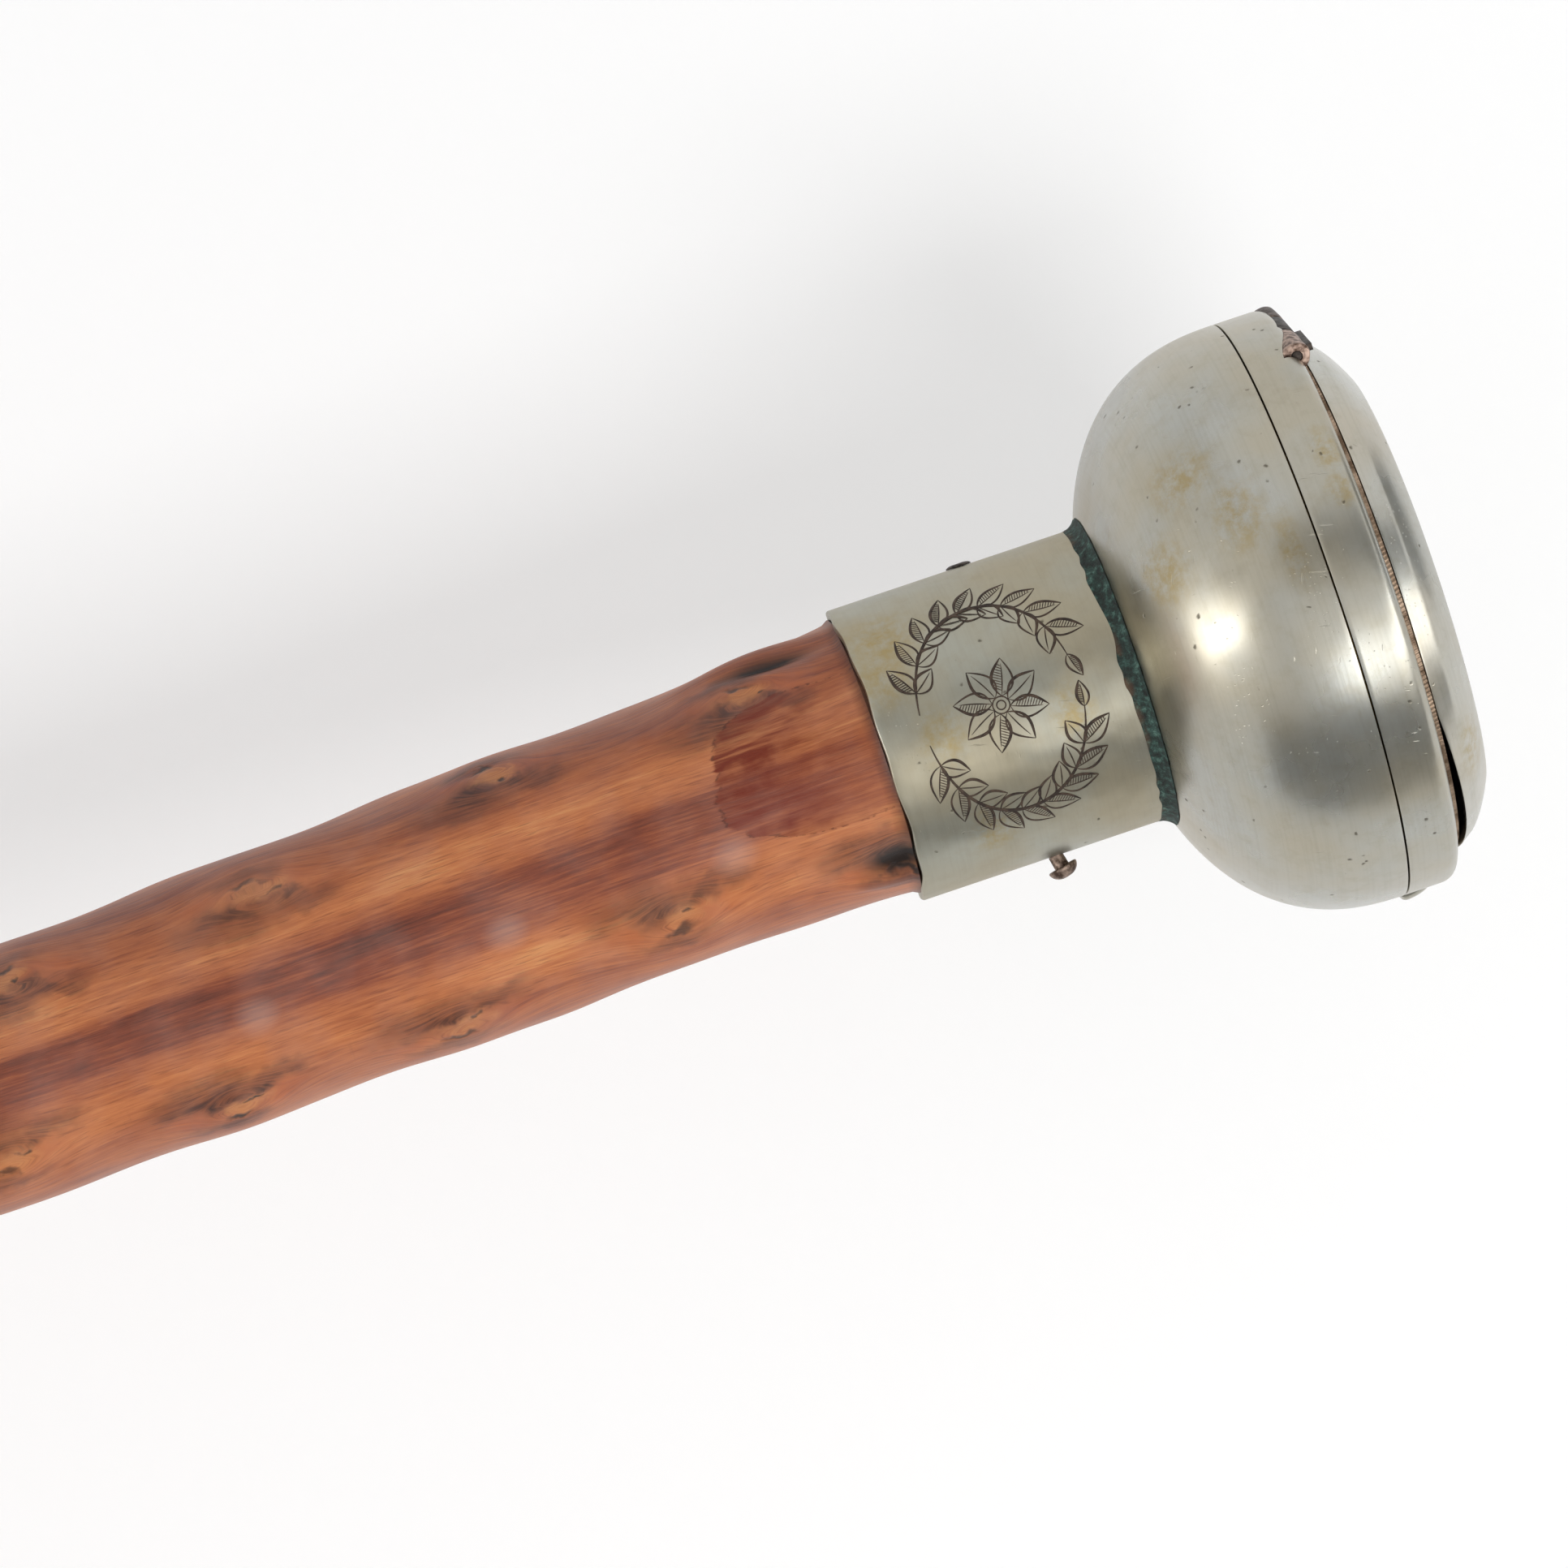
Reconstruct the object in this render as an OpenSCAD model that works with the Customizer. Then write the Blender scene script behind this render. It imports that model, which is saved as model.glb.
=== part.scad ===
// Watch-head walking stick: a knotted wooden shaft under a metal knob built like a hunter watch case.
// Millimetres, +Z up along the shaft, origin at the centre of the foot, lid hinge on the -X side.

/* [Shaft] */
// Height of the collar's lower edge above the ground
stick_len = 850; // [700:5:950]
// How far the wood stands out past its tenon below the collar
shaft_shoulder = 0.2; // [0.15:0.05:0.6]
// How far the wood stands out past its tenon above the tip ferrule
tip_shoulder = 0.25; // [0.2:0.05:0.5]
// Sideways bow of the shaft at mid length
shaft_bow = 8; // [0:0.5:15]
// Distance from knot to knot in the front and back rows
knot_pitch_front = 21.6; // [16:0.2:30]
// Distance from knot to knot in the two side rows
knot_pitch_side = 19.6; // [16:0.2:30]
// Height of a knot above the wood around it
knot_h = 1; // [0.2:0.1:1.6]
// Half length of a knot's swelling along the shaft
knot_half_len = 6; // [4:0.5:9]

/* [Tip] */
// Outside diameter of the tip ferrule
tip_d = 19; // [16:0.5:22]
// Length of the tip ferrule
tip_len = 32; // [20:1:50]
// Wall of the tip ferrule
tip_wall = 0.8; // [0.5:0.1:1.5]
// Length of the iron plug inside the ferrule
plug_len = 5; // [3:0.5:10]
// How far the plug stands out below the ferrule
plug_proud = 1; // [0.5:0.1:3]

/* [Collar] */
// Outside diameter of the collar
collar_d = 25.3; // [24:0.1:30]
// Length of the collar
collar_len = 22.2; // [18:0.2:40]
// Wall of the collar
collar_wall = 1.2; // [0.8:0.1:1.4]
// Height of the pins above the collar's lower edge, as a share of the collar's length
pin_height_share = 0.53; // [0.4:0.01:0.6]
// Diameter of the pins' stems
pin_d = 1.2; // [0.8:0.1:1.6]
// Diameter of the proud pin's round head
pin_head_d = 2.6; // [1.8:0.1:3.4]
// How far the proud pin's head stands out from the collar
pin_proud = 2.2; // [1.4:0.1:3]
// Length of a pin inside the collar and the wood
pin_len = 8; // [4:0.5:10]
// Height of the solder fillet at the collar's top
fillet_h = 2.4; // [1:0.1:4]

/* [Knob] */
// Largest diameter of the knob
knob_d = 50; // [47:0.5:58]
// Height of the bowl from the collar to its seam with the band
bowl_h = 16; // [15.5:0.5:22]
// Wall of the bowl
bowl_wall = 0.8; // [0.5:0.1:1.2]
// Wall of the bowl's rim outside the case ring
rim_wall = 1.6; // [1.2:0.1:2.2]
// Exponent of the bowl's outline, where 2 is an ellipse
bowl_fullness = 2.4; // [2:0.1:2.8]

/* [Band] */
// Height of the band between its two seams
band_h = 4.7; // [4.2:0.1:6]
// Height of the rounded shoulder at the band's top
band_shoulder_h = 1.6; // [0.8:0.1:2]
// Width of the rounded shoulder at the band's top
band_shoulder_w = 2; // [1:0.1:2.2]
// Height of the case ring inside the band
snap_h = 2; // [1.6:0.1:2.1]
// Thickness of the glass at its edge
glass_t = 1; // [0.7:0.1:1.2]
// Rise of the glass at its middle
glass_rise = 1.1; // [0.5:0.1:2]
// Width of the thumb lip
lip_w = 8; // [4:0.5:12]
// How far the thumb lip stands out from the band
lip_proud = 0.9; // [0.5:0.1:1.5]
// Height of the milled bead on the band's top
bead_h = 0.5; // [0.4:0.05:0.8]

/* [Lid] */
// How far the lid's edge stands in from the knob's side
lid_setback = 2.7; // [2.4:0.1:3.4]
// How far the lid's middle lies toward its free edge
lid_shift = 0.4; // [0:0.1:0.6]
// Height of the lid from its lower edge to the edge of its face
lid_h = 3.8; // [3:0.1:6]
// Width of the lid's sloping shoulder
lid_shoulder_w = 4.2; // [2:0.1:5]
// Rise of the lid's face at its middle
lid_rise = 0.8; // [0.3:0.1:1.5]
// Wall of the lid
lid_wall = 0.7; // [0.5:0.1:1]
// Height of the thumbnail notch in the lid's lower edge
nail_notch_h = 0.6; // [0.3:0.05:0.9]
// Width of the thumbnail notch
nail_notch_w = 22; // [10:0.5:26]

/* [Hinge] */
// Diameter of the hinge knuckles
knuckle_d = 2.3; // [2:0.1:2.6]
// Diameter of the hinge pin
hinge_pin_d = 0.9; // [0.7:0.05:1.2]
// Length of all three knuckles together
hinge_len = 16; // [8:0.5:18]
// Length of the middle knuckle
lid_knuckle_len = 5; // [2.5:0.1:6]

/* [Watch] */
// Thickness of the main plate
main_plate_t = 1.4; // [1:0.1:1.8]
// Thickness of the top plate
top_plate_t = 1.2; // [0.8:0.1:1.5]
// Length of the pillars between the plates
pillar_len = 5; // [4.6:0.1:5.4]
// Height of the motion work between main plate and dial
motion_h = 2.2; // [2:0.1:2.4]
// Thickness of the enamelled dial
dial_t = 0.7; // [0.5:0.05:0.8]
// Thickness of the hands
hand_t = 0.25; // [0.15:0.05:0.3]
// Hour that the hands show at rest
rest_hour = 10; // [0:1:11]
// Minute that the hands show at rest
rest_minute = 9; // [0:1:59]

/* [Fits] */
// Radial clearance of parts that are fixed together
fit_gap = 0.04; // [0.02:0.01:0.1]
// Radial clearance of parts that turn
run_gap = 0.05; // [0.03:0.01:0.08]
// Gap at the hairline seam between bowl and band
seam_gap = 0.12; // [0.05:0.01:0.3]
// Gap between the hinge's lid knuckle and what it passes
swing_gap = 0.16; // [0.1:0.01:0.2]

/* [Hidden] */
$fn = 96;
overrun = 1;

// Turn of the collar pins from the lid's hinge plane, and of the shaft's bow
pin_turn = -16;
pin_height = collar_len * pin_height_share;

// Shaft: rows of knots a quarter turn apart, two rows with one pitch and two with the other
shaft_sides = 24;
taper_power = 0.3;
ring_step = 6.5;
row_turn = -151;
row_count = 4;
row_spread = 360 / row_count;
first_knot_front = 9.2;
first_knot_side = 0.1;
knot_half_angle = 40;
knot_stagger = -10;
knot_stagger_step = 110;
shaft_run = stick_len - tip_len;
shaft_rings = ceil(shaft_run / ring_step);
tenon_r = collar_d / 2 - collar_wall - fit_gap;
tenon_top_gap = 0.3;
tip_tenon_r = tip_d / 2 - tip_wall - fit_gap;
wood_top_r = tenon_r + shaft_shoulder;
wood_tip_r = tip_tenon_r + tip_shoulder;

// Collar, pins and solder
collar_r = collar_d / 2;
collar_edge = 0.25;
pin_neck_share = 0.45;
rivet_d = 2.2;
rivet_h = 0.35;
fillet_foot_w = 0.35;
fillet_top_w = 0.75;

// Bowl: a superellipse that meets the collar's solder fillet
knob_r = knob_d / 2;
seam_z = collar_len + bowl_h;
foot_r = collar_r + fillet_top_w;
bowl_steps = 18;
bowl_step_power = 1.6;
bowl_depth = bowl_h / pow(1 - pow(foot_r / knob_r, bowl_fullness), 1 / bowl_fullness);
ring_r = knob_r - rim_wall - fit_gap;

// Case ring and movement frame, hung from the seam
ring_seat = 5.2;
ring_wall = 2.4;
ring_ledge_w = 1.6;
plate_drop = 3.2;
plate_r = ring_r - ring_wall - fit_gap;
plate_z = seam_z - plate_drop;
dial_z = plate_z + main_plate_t + motion_h;
top_plate_z = plate_z - pillar_len - top_plate_t;
top_plate_inset = 3.4;
top_plate_r = plate_r - top_plate_inset;
pillar_r = 1.2;
pillar_inset = 1.8;
pillar_turns = [20, 75, 215, 275];
screw_r = 0.45;
screw_head_r = 0.8;
screw_head_h = 0.5;
screw_grip = 1.6;
case_screw_count = 3;
case_screw_turn = 40;

// Going work between the plates
barrel_turn = 125;
barrel_reach_share = 0.44;
barrel_teeth = 72;
centre_teeth = 12;
barrel_reach = plate_r * barrel_reach_share;
barrel_pitch_r = barrel_reach * barrel_teeth / (barrel_teeth + centre_teeth);
centre_pitch_r = barrel_reach - barrel_pitch_r;
barrel_inset = 0.6;
barrel_gap = 0.5;
barrel_rim_t = 0.7;
barrel_rim_drop = 0.9;
centre_pinion_over = 0.4;
arbor_r = 0.6;
arbor_seat = 0.6;
winding_r = 0.9;
winding_square_share = 1.3;
winding_hole_gap = 0.6;
key_rise = 0.2;

// Motion work under the dial
stud_turn = -45;
motion_reach_share = 0.24;
cannon_teeth = 12;
minute_teeth = 36;
minute_pinion_teeth = 10;
hour_teeth = 40;
motion_reach = plate_r * motion_reach_share;
cannon_pitch_r = motion_reach * cannon_teeth / (cannon_teeth + minute_teeth);
minute_pitch_r = motion_reach - cannon_pitch_r;
minute_pinion_pitch_r = motion_reach * minute_pinion_teeth / (minute_pinion_teeth + hour_teeth);
hour_pitch_r = motion_reach - minute_pinion_pitch_r;
motion_clear = 0.15;
cannon_h_share = 0.36;
wheel_t_share = 0.2;
hour_z_share = 0.55;
pinion_h_share = 0.5;
stud_r = 0.5;
cannon_wall = 0.25;
cannon_r = arbor_r + run_gap + cannon_wall;
hour_pipe_wall = 0.3;
hour_pipe_r = cannon_r + run_gap + hour_pipe_wall;
dial_hole_gap = 0.25;

// Teeth, as shares of the pitch
tooth_root_share = 0.5;
tooth_tip_share = 0.2;
addendum_share = 0.75;
dedendum_share = 1.1;

// Dial and hands: twelve lies toward the hinge, and the hands turn clockwise seen from above
twelve_turn = 180;
dial_foot_r = 0.4;
dial_foot_inset = 2.6;
dial_foot_count = 3;
hour_hand_lift = 0.4;
minute_hand_lift = 0.35;
hour_hand_share = 0.5;
minute_hand_share = 0.8;
hand_root_w = 1.1;
hand_point_w = 0.35;
hand_hub_wall = 0.8;
hand_spade_r = 1.1;
hand_spade_share = 0.72;
hand_tail_share = 0.2;
hour_angle = twelve_turn - (rest_hour + rest_minute / 60) * 30;
minute_angle = twelve_turn - rest_minute * 6;

// Balance under the top plate
balance_turn = -35;
balance_reach_share = 0.41;
balance_r_share = 0.3;
balance_reach = plate_r * balance_reach_share;
balance_r = plate_r * balance_r_share;
balance_rim_w = 0.7;
balance_t = 0.6;
balance_drop = 0.9;
balance_arm_w = 0.9;
staff_r = 0.3;
staff_hub_r = 0.9;
cock_t = 1;
cock_gap = 0.3;
cock_foot_r = 1.1;
cock_foot_gap = 0.45;
cock_table_r = 1.6;
cock_reach = balance_r + cock_foot_gap + cock_foot_r;
cock_z = top_plate_z - balance_drop - balance_t - cock_gap - cock_t;

// Band, glass and lip
band_z = seam_z + seam_gap;
band_top = band_z + band_h;
band_steps = 8;
snap_clear = 0.3;
ledge_t = 0.7;
ledge_w = 1;
glass_wall = 2.2;
glass_r = knob_r - band_shoulder_w - glass_wall;
glass_z = band_z + snap_h + snap_clear + ledge_t;
glass_steps = 8;
lip_foot_share = 0.3;
lip_top_share = 0.65;

// Lid and hinge
lid_gap = 0.06;
lid_r = knob_r - lid_setback;
lid_edge_x = lid_r - lid_shift;
lid_z = band_top + bead_h + lid_gap;
bead_inset = 0.15;
bead_w = 0.9;
bead_r = lid_r - bead_inset;
nail_turn = -46;
nail_cut_r = nail_notch_w * nail_notch_w / (8 * nail_notch_h) + nail_notch_h / 2;
lid_draft_share = 0.22;
lid_knee_share = 0.7;
lid_side_share = 0.42;
lid_steps = 8;
knuckle_r = knuckle_d / 2;
hinge_drop = 0.45;
hinge_stand = 0.1;
hinge_x = lid_edge_x + hinge_stand + knuckle_r;
hinge_z = band_top - hinge_drop;
knuckle_gap = 0.1;
notch_end_gap = 0.5;
notch_len = hinge_len + 2 * notch_end_gap;
outer_knuckle_len = (hinge_len - lid_knuckle_len) / 2 - knuckle_gap;
leaf_t = 0.5;
leaf_h = 1.1;
leaf_sweep_r = norm([hinge_x - lid_edge_x, hinge_drop]);

// Radius of the wood at a depth below the collar, knots apart
function wood_r(d) = wood_top_r - (wood_top_r - wood_tip_r) * pow(d / shaft_run, taper_power);

function row_pitch(row) = row % 2 == 0 ? knot_pitch_front : knot_pitch_side;
function row_first(row) = row % 2 == 0 ? first_knot_front : first_knot_side;
function nearest_knot(row, d) = max(0, round((d - row_first(row)) / row_pitch(row)));
function knot_angle(row, k) = row_turn + row_spread * row + knot_stagger * sin(knot_stagger_step * k);
function wrapped(a) = a - 360 * round(a / 360);
function bell(x) = exp(-x * x);

// Swelling that a row's nearest knot adds at a depth and an angle
function knot_swell(row, d, a) =
    let (k = nearest_knot(row, d), along = d - row_first(row) - k * row_pitch(row))
    knot_h * bell(along / knot_half_len) * bell(wrapped(a - knot_angle(row, k)) / knot_half_angle);

function shaft_r(d, a) = wood_r(d) + knot_swell(0, d, a) + knot_swell(1, d, a)
    + knot_swell(2, d, a) + knot_swell(3, d, a);
function bow_at(d) = shaft_bow * sin(180 * d / shaft_run);

// Points on rings up the shaft, and the triangles between them
function shaft_point(ring, side) =
    let (d = shaft_run * (1 - ring / shaft_rings), a = 360 * side / shaft_sides, r = shaft_r(d, a))
    [bow_at(d) * cos(pin_turn) + r * cos(a), bow_at(d) * sin(pin_turn) + r * sin(a), stick_len - d];
function ring_index(ring, side) = ring * shaft_sides + side % shaft_sides;
function ring_triangles(ring, side) = [
    [ring_index(ring, side), ring_index(ring + 1, side), ring_index(ring + 1, side + 1)],
    [ring_index(ring, side), ring_index(ring + 1, side + 1), ring_index(ring, side + 1)]
];

// Outline of the bowl, with a wall taken off for its inside
function bowl_r(z, wall) =
    (knob_r - wall) * pow(1 - pow((seam_z - z) / (bowl_depth - wall), bowl_fullness), 1 / bowl_fullness);
function bowl_line(wall) = [
    for (i = [0 : bowl_steps])
        let (z = collar_len + wall + (bowl_h - wall) * pow(i / bowl_steps, bowl_step_power))
        [bowl_r(z, wall), z]
];

// Quarter bend between two points, with its corner where the tangents meet
function bend(from, corner, to, steps) = [
    for (i = [0 : steps])
        let (t = i / steps)
        from * pow(1 - t, 2) + corner * 2 * t * (1 - t) + to * pow(t, 2)
];

// Shallow dome from the axis out to a radius
function dome_line(r, z, rise, steps) = [
    for (i = [0 : steps])
        let (x = r * i / steps)
        [x, z + rise * (1 - pow(x / r, 2))]
];

// Outer line of the lid with a wall taken off, from its edge to the axis
function lid_line(wall) =
    let (
        top = lid_h - wall,
        side = [lid_r - wall, lid_z],
        knee = [lid_r - wall - lid_shoulder_w * lid_draft_share, lid_z + top * lid_side_share],
        corner = [lid_r - wall - lid_shoulder_w * lid_draft_share * 2, lid_z + top * lid_knee_share],
        face = [lid_r - wall - lid_shoulder_w, lid_z + top]
    )
    concat(
        [side],
        bend(knee, corner, face, lid_steps),
        [for (i = [1 : lid_steps]) dome_line(face[0], face[1], lid_rise, lid_steps)[lid_steps - i]]
    );

module at_head() {
    translate([0, 0, stick_len]) children();
}

module at_polar(reach, turn, z) {
    rotate(turn) translate([reach, 0, z]) children();
}

// Wheel with straight-sided teeth, its first tooth at the given angle
module toothed(teeth, pitch_r, t, first) {
    step = 360 / teeth;
    mod = 2 * pitch_r / teeth;
    tip_r = pitch_r + mod * addendum_share;
    root_r = pitch_r - mod * dedendum_share;
    root_half = step * tooth_root_share / 2;
    tip_half = step * tooth_tip_share / 2;
    linear_extrude(t)
        polygon([
            for (i = [0 : teeth - 1], corner = [[root_r, -root_half], [tip_r, -tip_half],
                [tip_r, tip_half], [root_r, root_half]])
                let (a = first + i * step + corner[1])
                [corner[0] * cos(a), corner[0] * sin(a)]
        ]);
}

module drilled(r, h) {
    difference() {
        children();
        translate([0, 0, -overrun]) cylinder(r = r, h = h + 2 * overrun);
    }
}

module shaft() {
    color("sienna") difference() {
        union() {
            polyhedron(
                points = [for (ring = [0 : shaft_rings], side = [0 : shaft_sides - 1]) shaft_point(ring, side)],
                faces = concat(
                    [[for (side = [0 : shaft_sides - 1]) side]],
                    [for (ring = [0 : shaft_rings - 1], side = [0 : shaft_sides - 1], k = [0, 1])
                        ring_triangles(ring, side)[k]],
                    [[for (side = [1 : shaft_sides]) ring_index(shaft_rings, shaft_sides - side)]]
                )
            );
            translate([0, 0, stick_len - overrun])
                cylinder(r = tenon_r, h = collar_len - tenon_top_gap + overrun);
            translate([0, 0, plug_proud + plug_len])
                cylinder(r = tip_tenon_r, h = tip_len - plug_proud - plug_len + overrun);
        }
        at_head() for (turn = [0, 180]) pin_hole(turn);
    }
}

module tip_ferrule() {
    color("darkgoldenrod") translate([0, 0, plug_proud]) difference() {
        cylinder(d = tip_d, h = tip_len - plug_proud);
        translate([0, 0, -overrun]) cylinder(r = tip_d / 2 - tip_wall, h = tip_len + 2 * overrun);
    }
}

module tip_plug() {
    color("dimgray") cylinder(r = tip_tenon_r, h = plug_proud + plug_len);
}

// Hole for a collar pin, from outside the collar to the pin's end in the wood
module pin_hole(turn) {
    rotate(pin_turn + turn)
        translate([collar_r - pin_len - fit_gap, 0, pin_height])
        rotate([0, 90, 0])
        cylinder(d = pin_d + 2 * fit_gap, h = pin_len + overrun);
}

module collar() {
    color("silver") at_head() difference() {
        rotate_extrude() polygon([
            [collar_r - collar_wall, 0], [collar_r - collar_edge, 0], [collar_r, collar_edge],
            [collar_r, collar_len], [collar_r - collar_wall, collar_len]
        ]);
        for (turn = [0, 180]) pin_hole(turn);
    }
}

// Round-headed pin along X, its stem ending at the given depth inside the collar
module pin_blank(head_d, head_h, proud) {
    round_r = (pow(head_d / 2, 2) + pow(head_h, 2)) / (2 * head_h);
    translate([0, 0, -pin_len]) cylinder(d = pin_d, h = pin_len + proud - head_h);
    translate([0, 0, proud - head_h]) intersection() {
        cylinder(d = head_d, h = head_h);
        translate([0, 0, head_h - round_r]) sphere(r = round_r);
    }
}

module collar_pin() {
    color("rosybrown") at_head() rotate(pin_turn)
        translate([collar_r, 0, pin_height])
        rotate([0, 90, 0])
        pin_blank(pin_head_d, pin_proud * (1 - pin_neck_share), pin_proud);
}

module collar_rivet() {
    color("dimgray") at_head() rotate(pin_turn + 180)
        translate([collar_r, 0, pin_height])
        rotate([0, 90, 0])
        pin_blank(rivet_d, rivet_h, rivet_h + fit_gap);
}

module solder_fillet() {
    color("darkslategray") at_head() rotate_extrude() polygon([
        [collar_r + fit_gap, collar_len - fillet_h],
        [collar_r + fillet_foot_w, collar_len - fillet_h + fillet_foot_w],
        [collar_r + fillet_top_w, collar_len - fit_gap],
        [collar_r + fit_gap, collar_len - fit_gap]
    ]);
}

module bowl() {
    color("silver") at_head() difference() {
        rotate_extrude() polygon(concat([[0, collar_len]], bowl_line(0), [[0, seam_z]]));
        intersection() {
            rotate_extrude() polygon(concat(
                [[0, collar_len + bowl_wall]],
                bowl_line(bowl_wall),
                [[knob_r - bowl_wall, seam_z + overrun], [0, seam_z + overrun]]
            ));
            cylinder(r = ring_r + fit_gap, h = seam_z + 2 * overrun);
        }
    }
}

module case_ring() {
    inner_r = plate_r + fit_gap;
    color("gold") at_head() difference() {
        translate([0, 0, seam_z - ring_seat]) cylinder(r = ring_r, h = ring_seat + snap_h);
        translate([0, 0, plate_z]) cylinder(r = inner_r, h = plate_drop + snap_h + overrun);
        translate([0, 0, seam_z - ring_seat - overrun])
            cylinder(r = inner_r - ring_ledge_w, h = ring_seat + overrun);
        case_screw_places() translate([0, 0, seam_z - ring_seat - overrun])
            cylinder(r = screw_r + fit_gap, h = ring_seat + overrun);
    }
}

module case_screw_places() {
    for (i = [0 : case_screw_count - 1])
        rotate(case_screw_turn + 360 * i / case_screw_count)
            translate([plate_r - ring_ledge_w / 2, 0, 0])
            children();
}

module case_screws() {
    color("steelblue") at_head() case_screw_places() {
        translate([0, 0, seam_z - ring_seat - screw_head_h]) cylinder(r = screw_head_r, h = screw_head_h);
        translate([0, 0, seam_z - ring_seat]) cylinder(r = screw_r, h = ring_seat - plate_drop + main_plate_t / 2);
    }
}

module main_plate() {
    color("gold") at_head() difference() {
        translate([0, 0, plate_z]) cylinder(r = plate_r, h = main_plate_t);
        translate([0, 0, plate_z - overrun]) {
            cylinder(r = arbor_r + run_gap, h = main_plate_t + 2 * overrun);
            at_polar(barrel_reach, barrel_turn, 0)
                cylinder(r = winding_r + run_gap, h = main_plate_t + 2 * overrun);
            at_polar(motion_reach, stud_turn, 0)
                cylinder(r = stud_r + fit_gap, h = main_plate_t + 2 * overrun);
            dial_foot_places() cylinder(r = dial_foot_r + fit_gap, h = main_plate_t + 2 * overrun);
            case_screw_places() cylinder(r = screw_r + fit_gap, h = main_plate_t / 2 + overrun + fit_gap);
        }
    }
}

module pillar_places() {
    for (turn = pillar_turns) at_polar(top_plate_r - pillar_inset, turn, 0) children();
}

module cock_foot_place() {
    at_polar(balance_reach + cock_reach, balance_turn, 0) children();
}

module top_plate() {
    color("gold") at_head() difference() {
        translate([0, 0, top_plate_z]) cylinder(r = top_plate_r, h = top_plate_t);
        translate([0, 0, top_plate_z + top_plate_t - arbor_seat])
            cylinder(r = arbor_r + run_gap, h = arbor_seat + overrun);
        translate([0, 0, top_plate_z - overrun]) {
            at_polar(barrel_reach, barrel_turn, 0)
                cylinder(r = winding_r + run_gap, h = top_plate_t + 2 * overrun);
            at_polar(balance_reach, balance_turn, 0) cylinder(r = staff_r + run_gap, h = overrun + arbor_seat);
            pillar_places() cylinder(r = screw_r + fit_gap, h = top_plate_t + 2 * overrun);
            cock_foot_place() cylinder(r = screw_r + fit_gap, h = top_plate_t + 2 * overrun);
        }
    }
}

module plate_pillars() {
    color("gold") at_head() pillar_places() translate([0, 0, plate_z - pillar_len]) difference() {
        cylinder(r = pillar_r, h = pillar_len);
        translate([0, 0, -overrun]) cylinder(r = screw_r + fit_gap, h = screw_grip + fit_gap + overrun);
    }
}

module plate_screws() {
    color("steelblue") at_head() {
        pillar_places() plate_screw(top_plate_z, top_plate_t + screw_grip);
        cock_foot_place() plate_screw(cock_z, top_plate_z + top_plate_t - cock_z);
    }
}

// Screw driven upward, its head below the given height
module plate_screw(z, grip) {
    translate([0, 0, z - screw_head_h]) cylinder(r = screw_head_r, h = screw_head_h);
    translate([0, 0, z]) cylinder(r = screw_r, h = grip);
}

module mainspring_barrel() {
    low = plate_z - pillar_len + barrel_gap;
    drum_h = pillar_len - 2 * barrel_gap;
    color("gold") at_head() at_polar(barrel_reach, barrel_turn, low)
        drilled(winding_r + run_gap, drum_h) {
            cylinder(r = barrel_pitch_r - barrel_inset, h = drum_h);
            translate([0, 0, drum_h - barrel_rim_drop - barrel_rim_t])
                toothed(barrel_teeth, barrel_pitch_r, barrel_rim_t, 180 + 180 / barrel_teeth);
        }
}

// Arbor of the barrel, up through the dial, where it takes a key on its square end
module winding_arbor() {
    square_w = winding_r * winding_square_share;
    color("steelblue") at_head() at_polar(barrel_reach, barrel_turn, top_plate_z) {
        cylinder(r = winding_r, h = dial_z - top_plate_z);
        translate([-square_w / 2, -square_w / 2, 0])
            cube([square_w, square_w, dial_z + dial_t + key_rise - top_plate_z]);
    }
}

module centre_arbor() {
    foot = top_plate_z + top_plate_t - arbor_seat;
    pinion_z = plate_z - barrel_gap - barrel_rim_drop - barrel_rim_t - centre_pinion_over;
    color("steelblue") at_head() {
        translate([0, 0, foot]) cylinder(r = arbor_r, h = hand_z(minute_hand_lift) + hand_t - foot);
        translate([0, 0, pinion_z])
            toothed(centre_teeth, centre_pitch_r, barrel_rim_t + 2 * centre_pinion_over, barrel_turn);
    }
}

// Underside of the hour hand, and of the minute hand above it
function hour_hand_z() = dial_z + dial_t + hour_hand_lift;
function hand_z(lift) = hour_hand_z() + hand_t + lift;

module cannon_pinion() {
    z = plate_z + main_plate_t + motion_clear;
    h = motion_h * cannon_h_share;
    color("steelblue") at_head() translate([0, 0, z]) drilled(arbor_r + run_gap, hand_z(0) - z) {
        toothed(cannon_teeth, cannon_pitch_r, h, stud_turn);
        cylinder(r = cannon_r, h = hand_z(minute_hand_lift) - z);
    }
}

module minute_stud() {
    h = main_plate_t + motion_h - motion_clear;
    color("steelblue") at_head() at_polar(motion_reach, stud_turn, plate_z) cylinder(r = stud_r, h = h);
}

module minute_wheel() {
    wheel_t = motion_h * wheel_t_share;
    color("gold") at_head() at_polar(motion_reach, stud_turn, plate_z + main_plate_t + motion_clear)
        drilled(stud_r + run_gap, motion_h) {
            toothed(minute_teeth, minute_pitch_r, wheel_t, 180 + 180 / minute_teeth);
            translate([0, 0, wheel_t])
                toothed(minute_pinion_teeth, minute_pinion_pitch_r, motion_h * pinion_h_share, 180);
        }
}

module hour_wheel() {
    z = plate_z + main_plate_t + motion_h * hour_z_share;
    color("gold") at_head() translate([0, 0, z]) drilled(cannon_r + run_gap, hour_hand_z() - z) {
        toothed(hour_teeth, hour_pitch_r, motion_h * wheel_t_share, stud_turn + 180 / hour_teeth);
        cylinder(r = hour_pipe_r, h = hour_hand_z() + hand_t - z);
    }
}

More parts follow.
